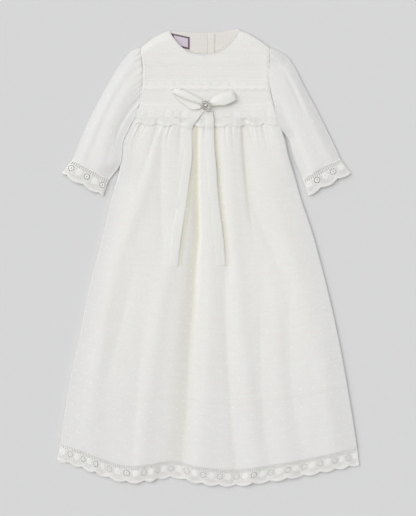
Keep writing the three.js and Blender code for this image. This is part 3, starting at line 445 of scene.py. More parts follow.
satin, n, shader, flat = new_material(
    "satin_ribbon", 0.42, Sheen_Weight=0.15, Specular_IOR_Level=0.35,
)
across, along, _ = n.split(flat)
ribs = n.math("SINE", n.math("MULTIPLY", along, 2 * math.pi / RIB))
handled = n.noise(object_place(n), 60.0, 3.0, 0.5)
n.set(shader.inputs["Base Color"], n.colour(handled, (0.885, 0.87, 0.785, 1), (0.925, 0.91, 0.838, 1)))
n.set(shader.inputs["Roughness"], n.math("MULTIPLY_ADD", handled, 0.2, 0.34))
height = n.math("ADD", n.math("MULTIPLY", ribs, 0.3), n.math("MULTIPLY", handled, 2.0))
n.set(shader.inputs["Normal"], n.bump(height, 0.35, BUMP_DEPTH))
print("trims", lace_thread.name, satin.name)

# %% The label's cloth
label_cloth, n, shader, flat = new_material("woven_label", 0.6, Specular_IOR_Level=0.3)
across, along, _ = n.split(flat)
# Painted shadow: the border is drawn wider at the label's left, where the neckline shades it.
from_shaded_left = n.math("MULTIPLY", n.math("ADD", across, 0.5), 0.45)
from_end = n.math("MULTIPLY", n.math("SUBTRACT", 0.5, n.math("ABSOLUTE", along)), 0.6)
edge = n.math("MINIMUM", n.math("SUBTRACT", 0.5, across), from_end)
edge = n.math("MINIMUM", edge, from_shaded_left)
border = n.math("SUBTRACT", 1.0, n.step(edge, 0.06, 0.1))
fine = n.noise(object_place(n), 700.0, 2.0, 0.5)
field = n.colour(fine, (0.60, 0.51, 0.58, 1), (0.80, 0.73, 0.78, 1))
n.set(shader.inputs["Base Color"], n.colour(border, field, (0.15, 0.085, 0.105, 1)))
n.set(shader.inputs["Normal"], n.bump(fine, 0.4, 0.0002))
print("label", label_cloth.name)

# %% [markdown]
# The brooch has a polished silver setting and clear cut stones. Polished metal still has fine scratches,
# so a noise roughens it a little. Low down the silver is painted dark as painted shade, which draws a
# dark outline round the setting. The stones mirror the sky on their facets, and their colour has painted
# reflections: dark and bright specks.

# %% Silver and stones
SHADED_EDGE_TOP = 0.018
silver, n, shader, flat = new_material("polished_silver", 0.25, Metallic=1.0)
scratch = n.noise(object_place(n), 1500.0, 3.0, 0.6)
polished = n.colour(scratch, (0.90, 0.87, 0.77, 1), (1.0, 0.98, 0.90, 1))
# Painted shade: below this height the silver turns dark, drawing the setting's outline.
raised = n.step(n.split(object_place(n))[2], SHADED_EDGE_TOP - 0.001, SHADED_EDGE_TOP)
n.set(shader.inputs["Base Color"], n.colour(raised, (0.30, 0.26, 0.20, 1), polished))
n.set(shader.inputs["Roughness"], n.math("MULTIPLY_ADD", scratch, 0.25, 0.3))
n.set(shader.inputs["Normal"], n.bump(scratch, 0.2, 0.0001))

stone_glass, n, shader, flat = new_material(
    "cut_stone", 0.06, IOR=2.0, Specular_IOR_Level=0.8, Coat_Weight=0.5,
)
# Painted reflection: dark and bright specks in the stones' colour stand in for their sparkle.
painted_sparkle = n.step(n.noise(object_place(n), 600.0, 2.0, 0.5), 0.35, 0.65)
n.set(shader.inputs["Base Color"], n.colour(painted_sparkle, (0.42, 0.40, 0.34, 1), (0.97, 0.95, 0.88, 1)))
print("brooch", silver.name, stone_glass.name)

# %% [markdown]
# The table is painted board with a very faint grain. It is one big plane a hair under the gown, so that
# nothing flickers where they touch. It reaches so far that its edge stays out of sight, even from low down.

# %% The table
TABLE_REACH = 30.0
TABLE_DROP = 0.0003
table_top, n, shader, flat = new_material("pale_table", 0.9, Specular_IOR_Level=0.1)
grain = n.noise(object_place(n), 220.0, 3.0, 0.6)
n.set(shader.inputs["Base Color"], n.colour(grain, (0.762, 0.753, 0.724, 1), (0.770, 0.761, 0.732, 1)))

bm = bmesh.new()
bmesh.ops.create_grid(bm, x_segments=1, y_segments=1, size=TABLE_REACH)
bmesh.ops.translate(bm, verts=bm.verts, vec=(0, 0, -TABLE_DROP))
table_mesh = bpy.data.meshes.new("table")
bm.to_mesh(table_mesh)
bm.free()
table_mesh.materials.append(table_top)
table_object = bpy.data.objects.new("table", table_mesh)
scene.collection.objects.link(table_object)
print("table", 2 * TABLE_REACH, "m wide")

# %% [markdown]
# Every cloth piece starts as a flat grid, as a weaver would see it. A function then says where each
# point of the grid lies on the gown. The flat place is kept as a UV map called cut, in metres, so that
# weave and dots follow the cloth through its folds. Solidify gives the sheet its thickness.


# %% Hand a mesh over as a piece
def finish_piece(name, bm, material, nodes, smooth=True):
    mesh = bpy.data.meshes.new(name)
    bm.to_mesh(mesh)
    bm.free()
    mesh.materials.append(material)
    for polygon in mesh.polygons:
        polygon.use_smooth = smooth
    piece = bpy.data.objects.new(name, mesh)
    scene.collection.objects.link(piece)
    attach(piece, "root")
    if nodes:
        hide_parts(*nodes)
    return piece


print("pieces will ride on root")


# %% Help for cloth shells
def evenly(u):
    return u


def cloth(
    name, columns, rows, spot, cut, material, nodes,
    thick=0.7, wrap=False, lining_and_shade_at=None, fold_shade=None, crowd=evenly,
):
    """A sheet: spot(u, v) gives a point in mm, cut(u, v) the same point on the flat cut in mm."""

    def place_in_cut(vert):
        return crowd(vert.co.x + 0.5), 0.5 - vert.co.y

    bm = bmesh.new()
    bmesh.ops.create_grid(bm, x_segments=columns, y_segments=rows, size=0.5)
    layer = bm.loops.layers.uv.new("cut")
    # Painted shade, in part: this value greys unlined cloth and also darkens the rims and the lower skirt.
    lined = bm.verts.layers.float.new("lined")
    # Painted shade: this value darkens and warms the cloth in folds and beside the ribbon's tails.
    crease = bm.verts.layers.float.new("crease")
    for vert in bm.verts:
        spot_in_cut = place_in_cut(vert)
        vert[lined] = lining_and_shade_at(*spot_in_cut) if lining_and_shade_at else 1.0
        vert[crease] = fold_shade(*spot_in_cut) if fold_shade else 0.0
    for face in bm.faces:
        for loop in face.loops:
            loop[layer].uv = tuple(c / 1000 for c in cut(*place_in_cut(loop.vert)))
    for vert in bm.verts:
        vert.co = place(*spot(*place_in_cut(vert)))
    if wrap:
        bmesh.ops.remove_doubles(bm, verts=bm.verts, dist=1e-5)
        bmesh.ops.recalc_face_normals(bm, faces=bm.faces)
    area = sum(face.calc_area() for face in bm.faces)
    piece = finish_piece(name, bm, material, nodes)
    wall = piece.modifiers.new("wall", "SOLIDIFY")
    wall.thickness = thick / 1000
    wall.offset = -1.0
    crisp = piece.modifiers.new("crisp_edges", "WEIGHTED_NORMAL")
    crisp.weight = 80
    print(name, "area", round(area, 4), "m2, faces", len(piece.data.polygons))
    return piece


# %% [markdown]
# The skirt is a wide panel gathered to the waist. Its outline is a table of left and right edges, and
# its folds are a short table too: each fold runs through three points, has a width on either side, and a
# height that is over 0 for a ridge and under 0 for a valley. One crease is deeper than the rest. It has a
# table of its own, with a wide slope on its left and a steep one on its right.

# %% The skirt's outline
WAIST_Y = 244.7
WAIST_WIDTH = 252.0
GATHERED_CUT = 400.0
HEM_WIDTH = 524.0
SKIRT_LENGTH = 612.0
SKIRT = {
    "y": [245, 226, 206, 180, 149, 108, 40, -56, -140, -226, -300, -375],
    "left": [-128, -139, -149, -152.5, -155, -167, -183, -208, -225, -243, -254, -266],
    "right": [124, 130, 136.5, 142.5, 151.5, 162, 184.5, 210, 229, 245, 257, 268],
}
HEM = {
    "x": [-268, -210, -164, -132, -99, -74, -50, -16, 46, 126, 205, 268],
    "y": [-322, -342, -358.5, -364.5, -361.5, -356.5, -356.5, -365.5, -370.5, -360.5, -345.5, -332],
}
BACK_HEM = (-358.0, -328.0)


def front_hem(x):
    return read(HEM, "x", x, "y")


def back_hem(x):
    return mix(*BACK_HEM, (2 * x / HEM_WIDTH) ** 2)


def skirt_spot(u, v, hem):
    y = mix(WAIST_Y, hem(mix(-0.5, 0.5, u) * HEM_WIDTH), v)
    return mix(read(SKIRT, "y", y, "left"), read(SKIRT, "y", y, "right"), u), y


print("skirt", SKIRT_LENGTH, "mm long,", HEM_WIDTH, "mm wide at the hem")

# %% The skirt's folds
FOLDS = [
    # x at three heights, the three heights y, half widths left, half widths right, rise
    ((14, 24, 38), (240, 100, -30), (6, 8), (5, 7), (-2.4, -2.4, -1.2)),
    ((-4, 4, -12), (232, -60, -375), (9, 14), (12, 22), (0.8, 1.5, 1.8)),
    ((-6, -5.5, -5), (248, 230, 205), (2.5, 3), (2, 2.5), (-2.8, -2.4, -0.4)),
    ((30, 33, 50), (40, -140, -375), (9, 9), (8, 10), (-0.5, -1.7, -1.5)),
    ((36, 50, 85), (235, 0, -375), (12, 16), (10, 16), (0.8, 1.4, 1.6)),
    ((60, 66.5, 80), (245, 150, 30), (2.6, 6), (9, 14), (-3.4, -3.2, -0.6)),
    ((78, 108, 142), (90, 20, -60), (10, 14), (9, 14), (-0.8, -1.2, -0.2)),
    ((-92, -117, -170), (215, 101, -20), (14, 20), (10, 16), (1.1, 1.6, 0.5)),
    ((-84, -98, -124), (245, 195, 120), (5, 9), (4, 8), (-1.8, -1.4, -0.3)),
    ((-80, -82, -75), (205, 100, -20), (8, 10), (8, 10), (-0.7, -1, -0.3)),
    ((-55, -77, -118), (60, -60, -375), (14, 20), (12, 16), (0.8, 1.7, 1.5)),
    ((-128, -150, -184), (-10, -110, -240), (12, 15), (12, 15), (-0.4, -1.3, -0.4)),
    ((-112, -120, -132), (-130, -210, -375), (9, 11), (9, 11), (-0.3, -0.8, -0.8)),
    ((-163, -188, -200), (-30, -161, -375), (14, 18), (14, 18), (0.7, 1.3, 0.9)),
    ((98, 92, 110), (-30, -161, -375), (9, 12), (9, 12), (-0.3, -1, -0.7)),
    ((150, 142, 176), (-30, -161, -375), (11, 14), (11, 14), (-0.4, -1, -0.8)),
    ((108, 147, 178), (120, 0, -160), (14, 18), (14, 18), (0.8, 1.1, 0.5)),
    ((118, 125, 142), (-60, -200, -375), (12, 16), (12, 16), (0.3, 1, 0.9)),
    ((200, 212, 222), (-120, -240, -375), (12, 16), (12, 16), (0.3, 0.8, 0.8)),
    ((69, 74, 82), (245, 220, 195), (4, 5), (4, 5), (-1, -1.4, -0.3)),
    ((92, 99, 109), (245, 226, 200), (4, 6), (4, 6), (-1, -1.2, -0.3)),
    ((-46, -48, -50), (245, 210, 165), (4, 6), (4, 6), (-1.4, -1.3, -0.3)),
    ((-110, -117, -128), (245, 222, 190), (4, 6), (4, 6), (-1.1, -1, -0.3)),
]
FOLD_FADE = 22.0
print(len(FOLDS), "folds")

# %% The main crease
MAIN_CREASE = {
    "y": [260, 136, 75, 35, -4, -56, -108, -161, -213, -266, -318, -375],
    "x": [-17.3, -16.8, -15.9, -15.4, -19.6, -24, -28.6, -32.5, -35.6, -38.4, -42.5, -47],
    "depth": [2.5, 4.6, 6, 6, 5.6, 5.1, 4.6, 4.2, 3.9, 3.6, 3.4, 3.2],
    "left": [10, 12, 13, 14, 15, 16, 17, 18, 20, 22, 23, 24],
    "right": [1.6, 1.6, 1.8, 1.8, 3.2, 5.5, 7.5, 9, 10, 10, 10, 10],
}


def past_crease(x, y):
    """How far x lies past the main crease, and the crease's width on that side."""
    off = x - read(MAIN_CREASE, "y", y, "x")
    return off, read(MAIN_CREASE, "y", y, "left" if off < 0 else "right")


print("the crease is up to", max(MAIN_CREASE["depth"]), "mm deep")


# %% The height of all folds together
CREASE_SHAPE, VALLEY_SHAPE, RIDGE_SHAPE = 1.4, 1.35, 2.0


def through_three(value, keys, values):
    (p, q, r), (a, b, c) = keys, values
    return (
        a * (value - q) * (value - r) / ((p - q) * (p - r))
        + b * (value - p) * (value - r) / ((q - p) * (q - r))
        + c * (value - p) * (value - q) / ((r - p) * (r - q))
    )


def fold_rise(x, y):
    off, width = past_crease(x, y)
    total = -read(MAIN_CREASE, "y", y, "depth") * math.exp(-(abs(off / width) ** CREASE_SHAPE))
    for fold_x, (top, middle, foot), left, right, rise in FOLDS:
        if not foot - FOLD_FADE < y < top + FOLD_FADE:
            continue
        along = clamp(y, foot, top)
        t, half = (top - along) / (top - foot), (top - middle) / (top - foot)
        if t < half:
            lift = mix(rise[0], rise[1], t / half)
        else:
            lift = mix(rise[1], rise[2], (t - half) / (1 - half))
        off = x - through_three(along, (top, middle, foot), fold_x)
        width = mix(*(left if off < 0 else right), t)
        bend = VALLEY_SHAPE if lift < 0 else RIDGE_SHAPE
        total += lift * (1 - abs(y - along) / FOLD_FADE) * math.exp(-(abs(off / width) ** bend))
    return total


print("deepest point of the crease", round(fold_rise(-15.4, 35), 2), "mm")

# %% [markdown]
# The ribbon's tails will lie on the skirt. The cloth beside their right edges gets a warm painted shadow
# from them, so the tables of their edges are needed before the skirt is made.

# %% Where the ribbon's tails lie
TAIL_LEFT = {
    "y": [255, 240, 226, 176, 137, 86, 36, -16],
    "left": [-17.5, -31, -39, -41.5, -47, -54, -62, -68.5],
    "right": [-7, -18, -26.5, -27, -31.5, -38.5, -46, -52.5],
}
TAIL_RIGHT = {
    "y": [255, 240, 199, 157, 111, 64, 27, -14],
    "left": [-3.5, -4.5, -3.5, -0.5, 2.5, 8, 12.5, 15.5],
    "right": [9, 11, 12, 15.5, 18.5, 24, 28.5, 31.5],
}
print("tails end at y", TAIL_LEFT["y"][-1], "and", TAIL_RIGHT["y"][-1])

# %% [markdown]
# Where the skirt is sewn to the bodice it is gathered: the cloth is pushed into many small folds that
# fade a hand's width below the seam. Lower down, one flat tuck runs across the skirt. Both are heights
# that are added to the main folds. A soft limit keeps every fold inside the CAD solid's height.

# %% The gathers and the level of the skirt
LEVEL = 6.6
REACH_UP = 2.9
REACH_DOWN = 4.2
EDGE_LOW = 3.2
SIDE_LEVEL = 5.8
SIDE_UNDER_SLEEVE = 2.2
GATHERS, FINER_GATHERS = 26, 47


def gathers(u, below):
    """Small folds under the waist seam, as uneven as a hand makes them."""
    wave = math.cos(2 * math.pi * GATHERS * u + 3.1 * math.sin(9 * u) + 1.7 * math.sin(23 * u))
    finer = math.cos(2 * math.pi * FINER_GATHERS * u + 2.2 * math.sin(17 * u))
    reach = 46 + 26 * math.sin(31 * u)
    return (0.55 * wave + 0.3 * finer - 0.35) * clamp(1 - below / reach) ** 1.3


def skirt_level(u, v, x, y):
    below = WAIST_Y - y
    rise = fold_rise(x, y) + gathers(u, below)
    rise += 0.35 * noise.noise((x / 60, y / 90, 0.5)) + 0.16 * noise.noise((x / 17, y / 40, 3.5))
    reach = REACH_UP if rise > 0 else REACH_DOWN
    level = LEVEL + reach * math.tanh(rise / reach)
    from_side = min(u, 1 - u) * mix(WAIST_WIDTH, HEM_WIDTH, v)
    beside_sleeve = ease(y, 120, 175)
    rolled = ease(from_side, -10, 45)
    inward = mix(SIDE_LEVEL, level, ease(from_side, 3, 12))
    tucked_in = mix(SIDE_UNDER_SLEEVE, inward, ease(from_side, 0, 1.8))
    return mix(mix(EDGE_LOW, level, rolled), tucked_in, beside_sleeve)


print("level of the skirt's middle", round(skirt_level(0.5, 0.5, 0, -60), 2), "mm")


# %% The tuck, and the whole height of the skirt's face
TUCK_ABOVE_HEM = 114.0
TUCK_DEPTH = 9.0
TUCK_RISE = 0.42


def skirt_tuck(v):
    above = SKIRT_LENGTH * (1 - v) - TUCK_ABOVE_HEM
    return TUCK_RISE * ease(above, -2.5, 2.5) * (1 - ease(above, TUCK_DEPTH - 4, TUCK_DEPTH + 3))


def skirt_height(u, v, x, y):
    return skirt_level(u, v, x, y) + skirt_tuck(v)


def skirt_front_spot(u, v):
    x, y = skirt_spot(u, v, front_hem)
    return x, y, skirt_height(u, v, x, y)


print("middle of the hem at", [round(c, 1) for c in skirt_front_spot(0.5, 1.0)])


# %% What the skirt's cloth stores: its cut, its lining with painted shade, its painted fold shade
def skirt_cut(u, v):
    return (u - 0.5) * mix(GATHERED_CUT, HEM_WIDTH, v), -SKIRT_LENGTH * v


def skirt_lined(u, v):
    """The lining is narrower and shorter than the skirt, so the edges let the table show through. The value
    also darkens the rims and, towards the hem, the lower skirt as painted shade.
    """
    from_side = min(u, 1 - u) * mix(WAIST_WIDTH, HEM_WIDTH, v)
    side = mix(0.25, 1.0, ease(from_side, -10, mix(20, 75, v)))
    return side * mix(1.0, 0.62, ease(v, 0.45, 1.0))


def skirt_fold_shade(u, v):
    """Painted shade: the cloth is darker and warmer in the folds and in a band beside the ribbon's tails,
    for the shade there and the light bounced between them, most of all near the waist.
    """
    x, y = skirt_spot(u, v, front_hem)
    off, width = past_crease(x, y)
    depth = math.exp(-(abs(off / (mix(10, 25, v) if off < 0 else width)) ** 2.6))
    depth = max(depth, 0.5 * clamp((-0.6 - fold_rise(x, y)) / 2.4))
    for table in (TAIL_LEFT, TAIL_RIGHT):
        if y > table["y"][-1]:
            off = x - read(table, "y", y, "right")
            depth = max(depth, math.exp(-((off / (8.5 if off > 0 else 2)) ** 4)))
    return depth * mix(1.0, 0.4, ease(v, 0.15, 0.8))


print("cut at the hem", [round(c, 1) for c in skirt_cut(1, 1)])


# %% The skirt's front and back
CREASE_AT, CROWDED, CROWDING = 0.435, 0.05, 0.7
BACK_LEVEL = 1.0


def crowd_at_crease(u):
    """The grid's columns stand closer together where the main crease needs them."""
    off = u - CREASE_AT
    return u - CROWDING * off * math.exp(-((off / CROWDED) ** 2))


skirt_front = cloth(
    "skirt_front_cloth", 180, 200, skirt_front_spot, skirt_cut, plumeti, ["skirt_front"],
    lining_and_shade_at=skirt_lined, fold_shade=skirt_fold_shade, crowd=crowd_at_crease,
)


def skirt_back_spot(u, v):
    x, y = skirt_spot(u, v, back_hem)
    return x + 1 - 2 * u, y, BACK_LEVEL


skirt_back = cloth(
    "skirt_back_cloth", 30, 40, skirt_back_spot, skirt_cut, plumeti, ["skirt_back"],
)

# %% [markdown]
# The bodice is one front panel with four flat tucks across it. A tuck is a fold stitched down: seen
# from above it is a low step, sharp at its lower edge and gentle above. Below the neck the grid's rows
# stand close together, so that the steps stay crisp.

# %% The bodice's outline
BODICE = {
    "y": [397, 367.5, 338, 311, 285, 259, 245],
    "left": [-117.5, -116.6, -112.4, -113, -115.7, -119.5, -127],
    "right": [108, 107.4, 107, 107, 110, 117, 123],
}
BACK_NECK = {
    "x": [-67.6, -50, -20, 14, 38, 55.5],
    "y": [397, 395.3, 393.6, 394, 398, 400.5],
}
NECK_LEFT, NECK_RIGHT = -67.6, 55.5
NECK_MIDDLE, NECK_REACH = (NECK_LEFT + NECK_RIGHT) / 2, (NECK_RIGHT - NECK_LEFT) / 2
NECK_POINT_Y, SHOULDER_Y, NECK_DEPTH = 396.5, 367.5, 41.5
NECK_FULLNESS_LEFT, NECK_FULLNESS_RIGHT = 2.6, 2.3
SHOULDER_LEFT, SHOULDER_RIGHT = -116.6, 107.4
SHOULDER_BEND = math.pi / 2.4


def shoulder_y(x):
    if x < 0:
        t = (x - SHOULDER_LEFT) / (NECK_LEFT - SHOULDER_LEFT)
    else:
        t = (SHOULDER_RIGHT - x) / (SHOULDER_RIGHT - NECK_RIGHT)
    return mix(SHOULDER_Y, NECK_POINT_Y, math.sin(clamp(t) * SHOULDER_BEND) / math.sin(SHOULDER_BEND))


def neckline_y(x):
    off = clamp(abs(x - NECK_MIDDLE) / NECK_REACH)
    fullness = NECK_FULLNESS_LEFT if x < NECK_MIDDLE else NECK_FULLNESS_RIGHT
    return NECK_POINT_Y - NECK_DEPTH * (1 - off ** fullness)


def front_top(x):
    return shoulder_y(x) if not NECK_LEFT < x < NECK_RIGHT else min(neckline_y(x), shoulder_y(x))


def back_top(x):
    return shoulder_y(x) if not NECK_LEFT < x < NECK_RIGHT else read(BACK_NECK, "x", x, "y")


print("lowest point of the neckline", round(front_top(NECK_MIDDLE), 1))

# %% The bodice's tucks and level
FIRST_TUCK, TUCK_PITCH, BODICE_TUCKS = 357.0, 22.4, 4
TUCK_LIP = 0.6
SHOULDER_LEVEL = 2.6


def bodice_tucks(x, y):
    for k in range(BODICE_TUCKS):
        edge = FIRST_TUCK - k * TUCK_PITCH + 0.7 * noise.noise((x / 40, k, 0.2))
        above = y - edge
        if -TUCK_LIP < above < TUCK_PITCH - TUCK_LIP:
            strength = 0.36 + 0.3 * noise.noise((x / 30, 3 * k, 1.7))
            return strength * ease(above, -TUCK_LIP, 2.2) * (1 - 0.9 * clamp(above / 17))
    return 0.0


def bodice_level(x, y):
    left, right = read(BODICE, "y", y, "left"), read(BODICE, "y", y, "right")
    from_side, from_top = min(x - left, right - x), shoulder_y(x) - y
    seam = ease(from_side, -0.5, 3.0)
    by_top = mix(0.3, 1.0, ease(from_top, -4, 17))
    round_off = min(by_top, mix(0.9, 1.0, seam))
    soft = 0.4 * noise.noise((x / 45, y / 60, 7.5)) + 0.2 * noise.noise((x / 16, y / 16, 9.5))
    level = mix(SHOULDER_LEVEL, LEVEL, round_off)
    return level + soft * round_off + 0.25 * ease(y, WAIST_Y, WAIST_Y + 20)


def bodice_height(x, y):
    return bodice_level(x, y) + bodice_tucks(x, y)


print("bodice height at the middle", round(bodice_height(NECK_MIDDLE, 300), 2), "mm")

# %% The bodice's grid and its front
NECK_FOOT = 352.0
ROWS_AT_NECK = 0.2


def bodice_grid(v, top):
    """Heights that follow the top edge first and then run straight to the waist."""
    if v < ROWS_AT_NECK:
        return mix(top, NECK_FOOT, v / ROWS_AT_NECK)
    return mix(NECK_FOOT, WAIST_Y + 0.3, (v - ROWS_AT_NECK) / (1 - ROWS_AT_NECK))


def bodice_x(u, y, share_of_neck=0.55):
    edge = (1 - share_of_neck) / 2
    if u < edge:
        x = mix(SHOULDER_LEFT, NECK_LEFT, u / edge)
    elif u > 1 - edge:
        x = mix(NECK_RIGHT, SHOULDER_RIGHT, (u - 1 + edge) / edge)
    else:
        x = NECK_MIDDLE - NECK_REACH * math.cos(math.pi * (u - edge) / share_of_neck)
    if y is None:
        return x
    share = (x - SHOULDER_LEFT) / (SHOULDER_RIGHT - SHOULDER_LEFT)
    return mix(read(BODICE, "y", y, "left"), read(BODICE, "y", y, "right"), share)


def bodice_front_spot(u, v):
    top_x = bodice_x(u, None)
    y = bodice_grid(v, front_top(top_x))
    x = top_x if y > NECK_FOOT else bodice_x(u, y)
    return x, y, bodice_height(x, y)


def flat_cut(spot):
    return lambda u, v: spot(u, v)[:2]


bodice_front = cloth(
    "bodice_front_cloth", 120, 190, bodice_front_spot, flat_cut(bodice_front_spot), plumeti,
    ["bodice_front"],
)

# %% [markdown]
# The back is two halves that meet at the centre, and it closes with a placket. Only the strip inside the
# neck shows. Both halves lie flat on the table.


# %% The back of the bodice
BACK_FACE = 1.9


def back_half(name, node, side):
    edge = 0.6 + 0.15 * side

    def spot(u, v):
        share = mix(0.0, 0.5, u) if side < 0 else mix(0.5, 1.0, u)
        top_x = bodice_x(share, None)
        top_x = min(top_x, edge) if side < 0 else max(top_x, edge)
        if share == 0.5:
            top_x = edge
        y = bodice_grid(v, back_top(top_x))
        t = (top_x - SHOULDER_LEFT) / (SHOULDER_RIGHT - SHOULDER_LEFT)
        x = top_x if y > NECK_FOOT else mix(read(BODICE, "y", y, "left"), read(BODICE, "y", y, "right"), t)
        ripple = 0.12 * math.sin(y * 2 * math.pi / 8) * ease(abs(x), 4, 12)
        return x * 0.991 - 0.15, y, BACK_FACE + ripple

    return cloth(name, 24, 40, spot, flat_cut(spot), batiste, [node])


back_left = back_half("bodice_back_left_cloth", "bodice_back_left", -1)
back_right = back_half("bodice_back_right_cloth", "bodice_back_right", 1)


# %% [markdown]
# The placket is a narrow strip sewn over the opening, a little puckered by its stitches. The label is
# sewn beside it along its top edge. Both are thinner than the panels.


# %% The placket and the label
def placket_spot(u, v):
    y = mix(391.5, 300.0, v)
    ripple = 0.12 * math.sin(y * 2 * math.pi / 7.5)
    return mix(1.5, 13.0, u), y, 2.3 + 0.3 * math.sin(math.pi * u) + ripple


placket = cloth(
    "back_placket_strip", 8, 60, placket_spot, flat_cut(placket_spot), batiste, ["back_placket"],
    thick=0.35,
)


def label_spot(u, v):
    x = mix(-65.0, -31.5, u)
    y = mix(393.5, 372.0, v) - 0.22 * (x + 65.5)
    return x, y, 2.6 + 0.3 * math.sin(math.pi * u) * (1 - v)


label = cloth(
    "neck_label_cloth", 16, 10, label_spot, lambda u, v: (1000 * (u - 0.5), 1000 * (0.5 - v)),
    label_cloth, ["neck_label"], thick=0.35,
)

# %% [markdown]
# A sleeve laid flat is a soft tube: one face up, one face down, and a fold at each edge. The grid is
# wrapped round it, so u runs once round and v runs from the armhole to the cuff.

# %% The sleeves' outlines and folds
SLEEVE_LEFT = {
    "t": [0, 1, 2, 3, 4, 5, 6, 7],
    "outer_x": [-118.4, -136, -154, -178, -203.5, -218, -229.5, -237.5],
    "outer_y": [368, 359.5, 338, 298, 250, 219, 193, 171.5],
    "inner_x": [-122.2, -137, -145, -152.5, -155, -157.5, -165, -172],
    "inner_y": [256, 236, 220, 203, 180, 157, 145.5, 136],
    "height": [6.6, 7, 7.2, 7.2, 7.1, 6.8, 6.3, 5.8],
    "bow": [6.2, 4, 2.5, 1, 0, 0, 0, 0],
}
SLEEVE_RIGHT = {
    "t": [0, 1, 2, 3, 4, 5, 6, 7],
    "outer_x": [109.6, 134.5, 151, 170.5, 191.5, 209, 224, 233],
    "outer_y": [368, 356, 336, 298, 259, 224, 193, 173],
    "inner_x": [119.8, 129.5, 134.5, 143.5, 149.5, 157, 162, 166],
    "inner_y": [256, 238, 222, 201, 178.5, 159, 147, 137.5],
    "height": [6.6, 7, 7.2, 7.2, 7.1, 6.8, 6.3, 5.8],
    "bow": [-6.6, -4, -2, 0, 0, 0, 0, 0],
}
# Folds: place across at the armhole and the cuff, width, rise, from and to along the sleeve
SLEEVE_FOLDS_LEFT = [
    (0.5, 0.62, 0.14, 0.9, 0, 1),
    (0.8, 0.86, 0.06, -1.7, 0.02, 0.5),
    (0.3, 0.34, 0.08, -0.6, 0.1, 0.9),
]
SLEEVE_FOLDS_RIGHT = [
    (0.2, 0.4, 0.07, -1.7, 0.03, 0.45),
    (0.55, 0.6, 0.15, 0.9, 0, 1),
    (0.82, 0.8, 0.08, -0.6, 0.2, 0.9),
]
HEAD_GATHERS = 11
outer, inner = [
    Vector((SLEEVE_LEFT[f"{edge}_x"][-1], SLEEVE_LEFT[f"{edge}_y"][-1])) for edge in ("outer", "inner")
]
print("left cuff", round((outer - inner).length, 1), "mm wide")


# %% Where a point of the tube lies
def sleeve_rise(folds, across, along):
    total = 0.0
    for start, end, width, rise, begin, stop in folds:
        ends = ease(along, begin - 0.1, begin + 0.05) * (1 - ease(along, stop - 0.1, stop + 0.1))
        total += rise * ends * math.exp(-(((across - mix(start, end, along)) / width) ** 2))
    wave = math.cos(2 * math.pi * HEAD_GATHERS * across + 2 * math.sin(9 * across))
    return total + clamp(1 - along / 0.16) * 0.5 * wave


def across_tube(u):
    """0 at the outer fold and 1 at the inner one, on the upper face and back on the lower."""
    turn = 2 * u if u < 0.5 else 2 - 2 * u
    return 0.5 - 0.5 * math.cos(math.pi * turn)


def sleeve_spot(table, folds, side, lap):
    """lap gives the mm by which the inner edge lies over the skirt, and how far down."""
    lap_width, lap_end = lap

    def spot(u, v):
        row = {key: read(table, "t", 7 * v, key) for key in table if key != "t"}
        across = across_tube(u)
        if side > 0:
            across = 1 - across
        x = mix(row["outer_x"], row["inner_x"], across) + row["bow"] * 4 * across * (1 - across)
        y = mix(row["outer_y"], row["inner_y"], across)
        sharp = mix(14, 2.3, ease(v, 0, 0.22))
        from_inner = 1 - across
        full = math.sqrt(clamp(1 - abs(2 * across - 1) ** sharp))
        gentle = ease(from_inner, -0.05, 0.36) * ease(across, -0.07, 0.28)
        round_off = mix(full, gentle, ease(v, 0.02, 0.2))
        seam = 0.35 * (1 - ease(v * 200, 0, 6))
        lapped = ease(y, lap_end - 12, lap_end + 12)
        over = lap_width * lapped * (1 - ease(y, 252, 262))
        edge_z = mix(1.6, 6.3, lapped * (1 - ease(from_inner, 0.2, 0.5)))
        x += -side * over * (1 - ease(from_inner, 0, 0.08))
        if u < 0.5:
            soft = 0.3 * noise.noise((x / 22, y / 40, 5.5))
            face = row["height"] + sleeve_rise(folds, across, v) + soft - seam
        else:
            face = 0.5
        z = mix(edge_z, face, round_off)
        return x, y, z

    return spot


print("the tube's inner fold is at", across_tube(0.5))


# %% The sleeves
SLEEVE_ROUND, SLEEVE_LENGTH = 210, 200
SLEEVE_LAP = 5.5


def sleeve_cut(u, v):
    return (u - 0.5) * SLEEVE_ROUND, -SLEEVE_LENGTH * v


def sleeve_lined(u, v):
    """The sleeve is unlined near its folded edges, where only its own two layers lie on the table. The
    value also darkens those rims as painted shade.
    """
    across = across_tube(u)
    return 0.15 + 0.6 * ease(min(across, 1 - across), 0.0, 0.3)


for word, side, table, folds, lap_end in (
    ("left", -1, SLEEVE_LEFT, SLEEVE_FOLDS_LEFT, 160), ("right", 1, SLEEVE_RIGHT, SLEEVE_FOLDS_RIGHT, 218),
):
    spot = sleeve_spot(table, folds, side, (SLEEVE_LAP, lap_end))
    cloth(
        f"sleeve_{word}_cloth", 120, 80, spot, sleeve_cut, plumeti, [f"sleeve_{word}"],
        wrap=True, lining_and_shade_at=sleeve_lined,
    )

# %% [markdown]
# Where a sleeve joins the bodice the seam turns in under a narrow roll of cloth. The roll is one swept
# tube, and the same helper will sweep the stitches and the threads of the lace.

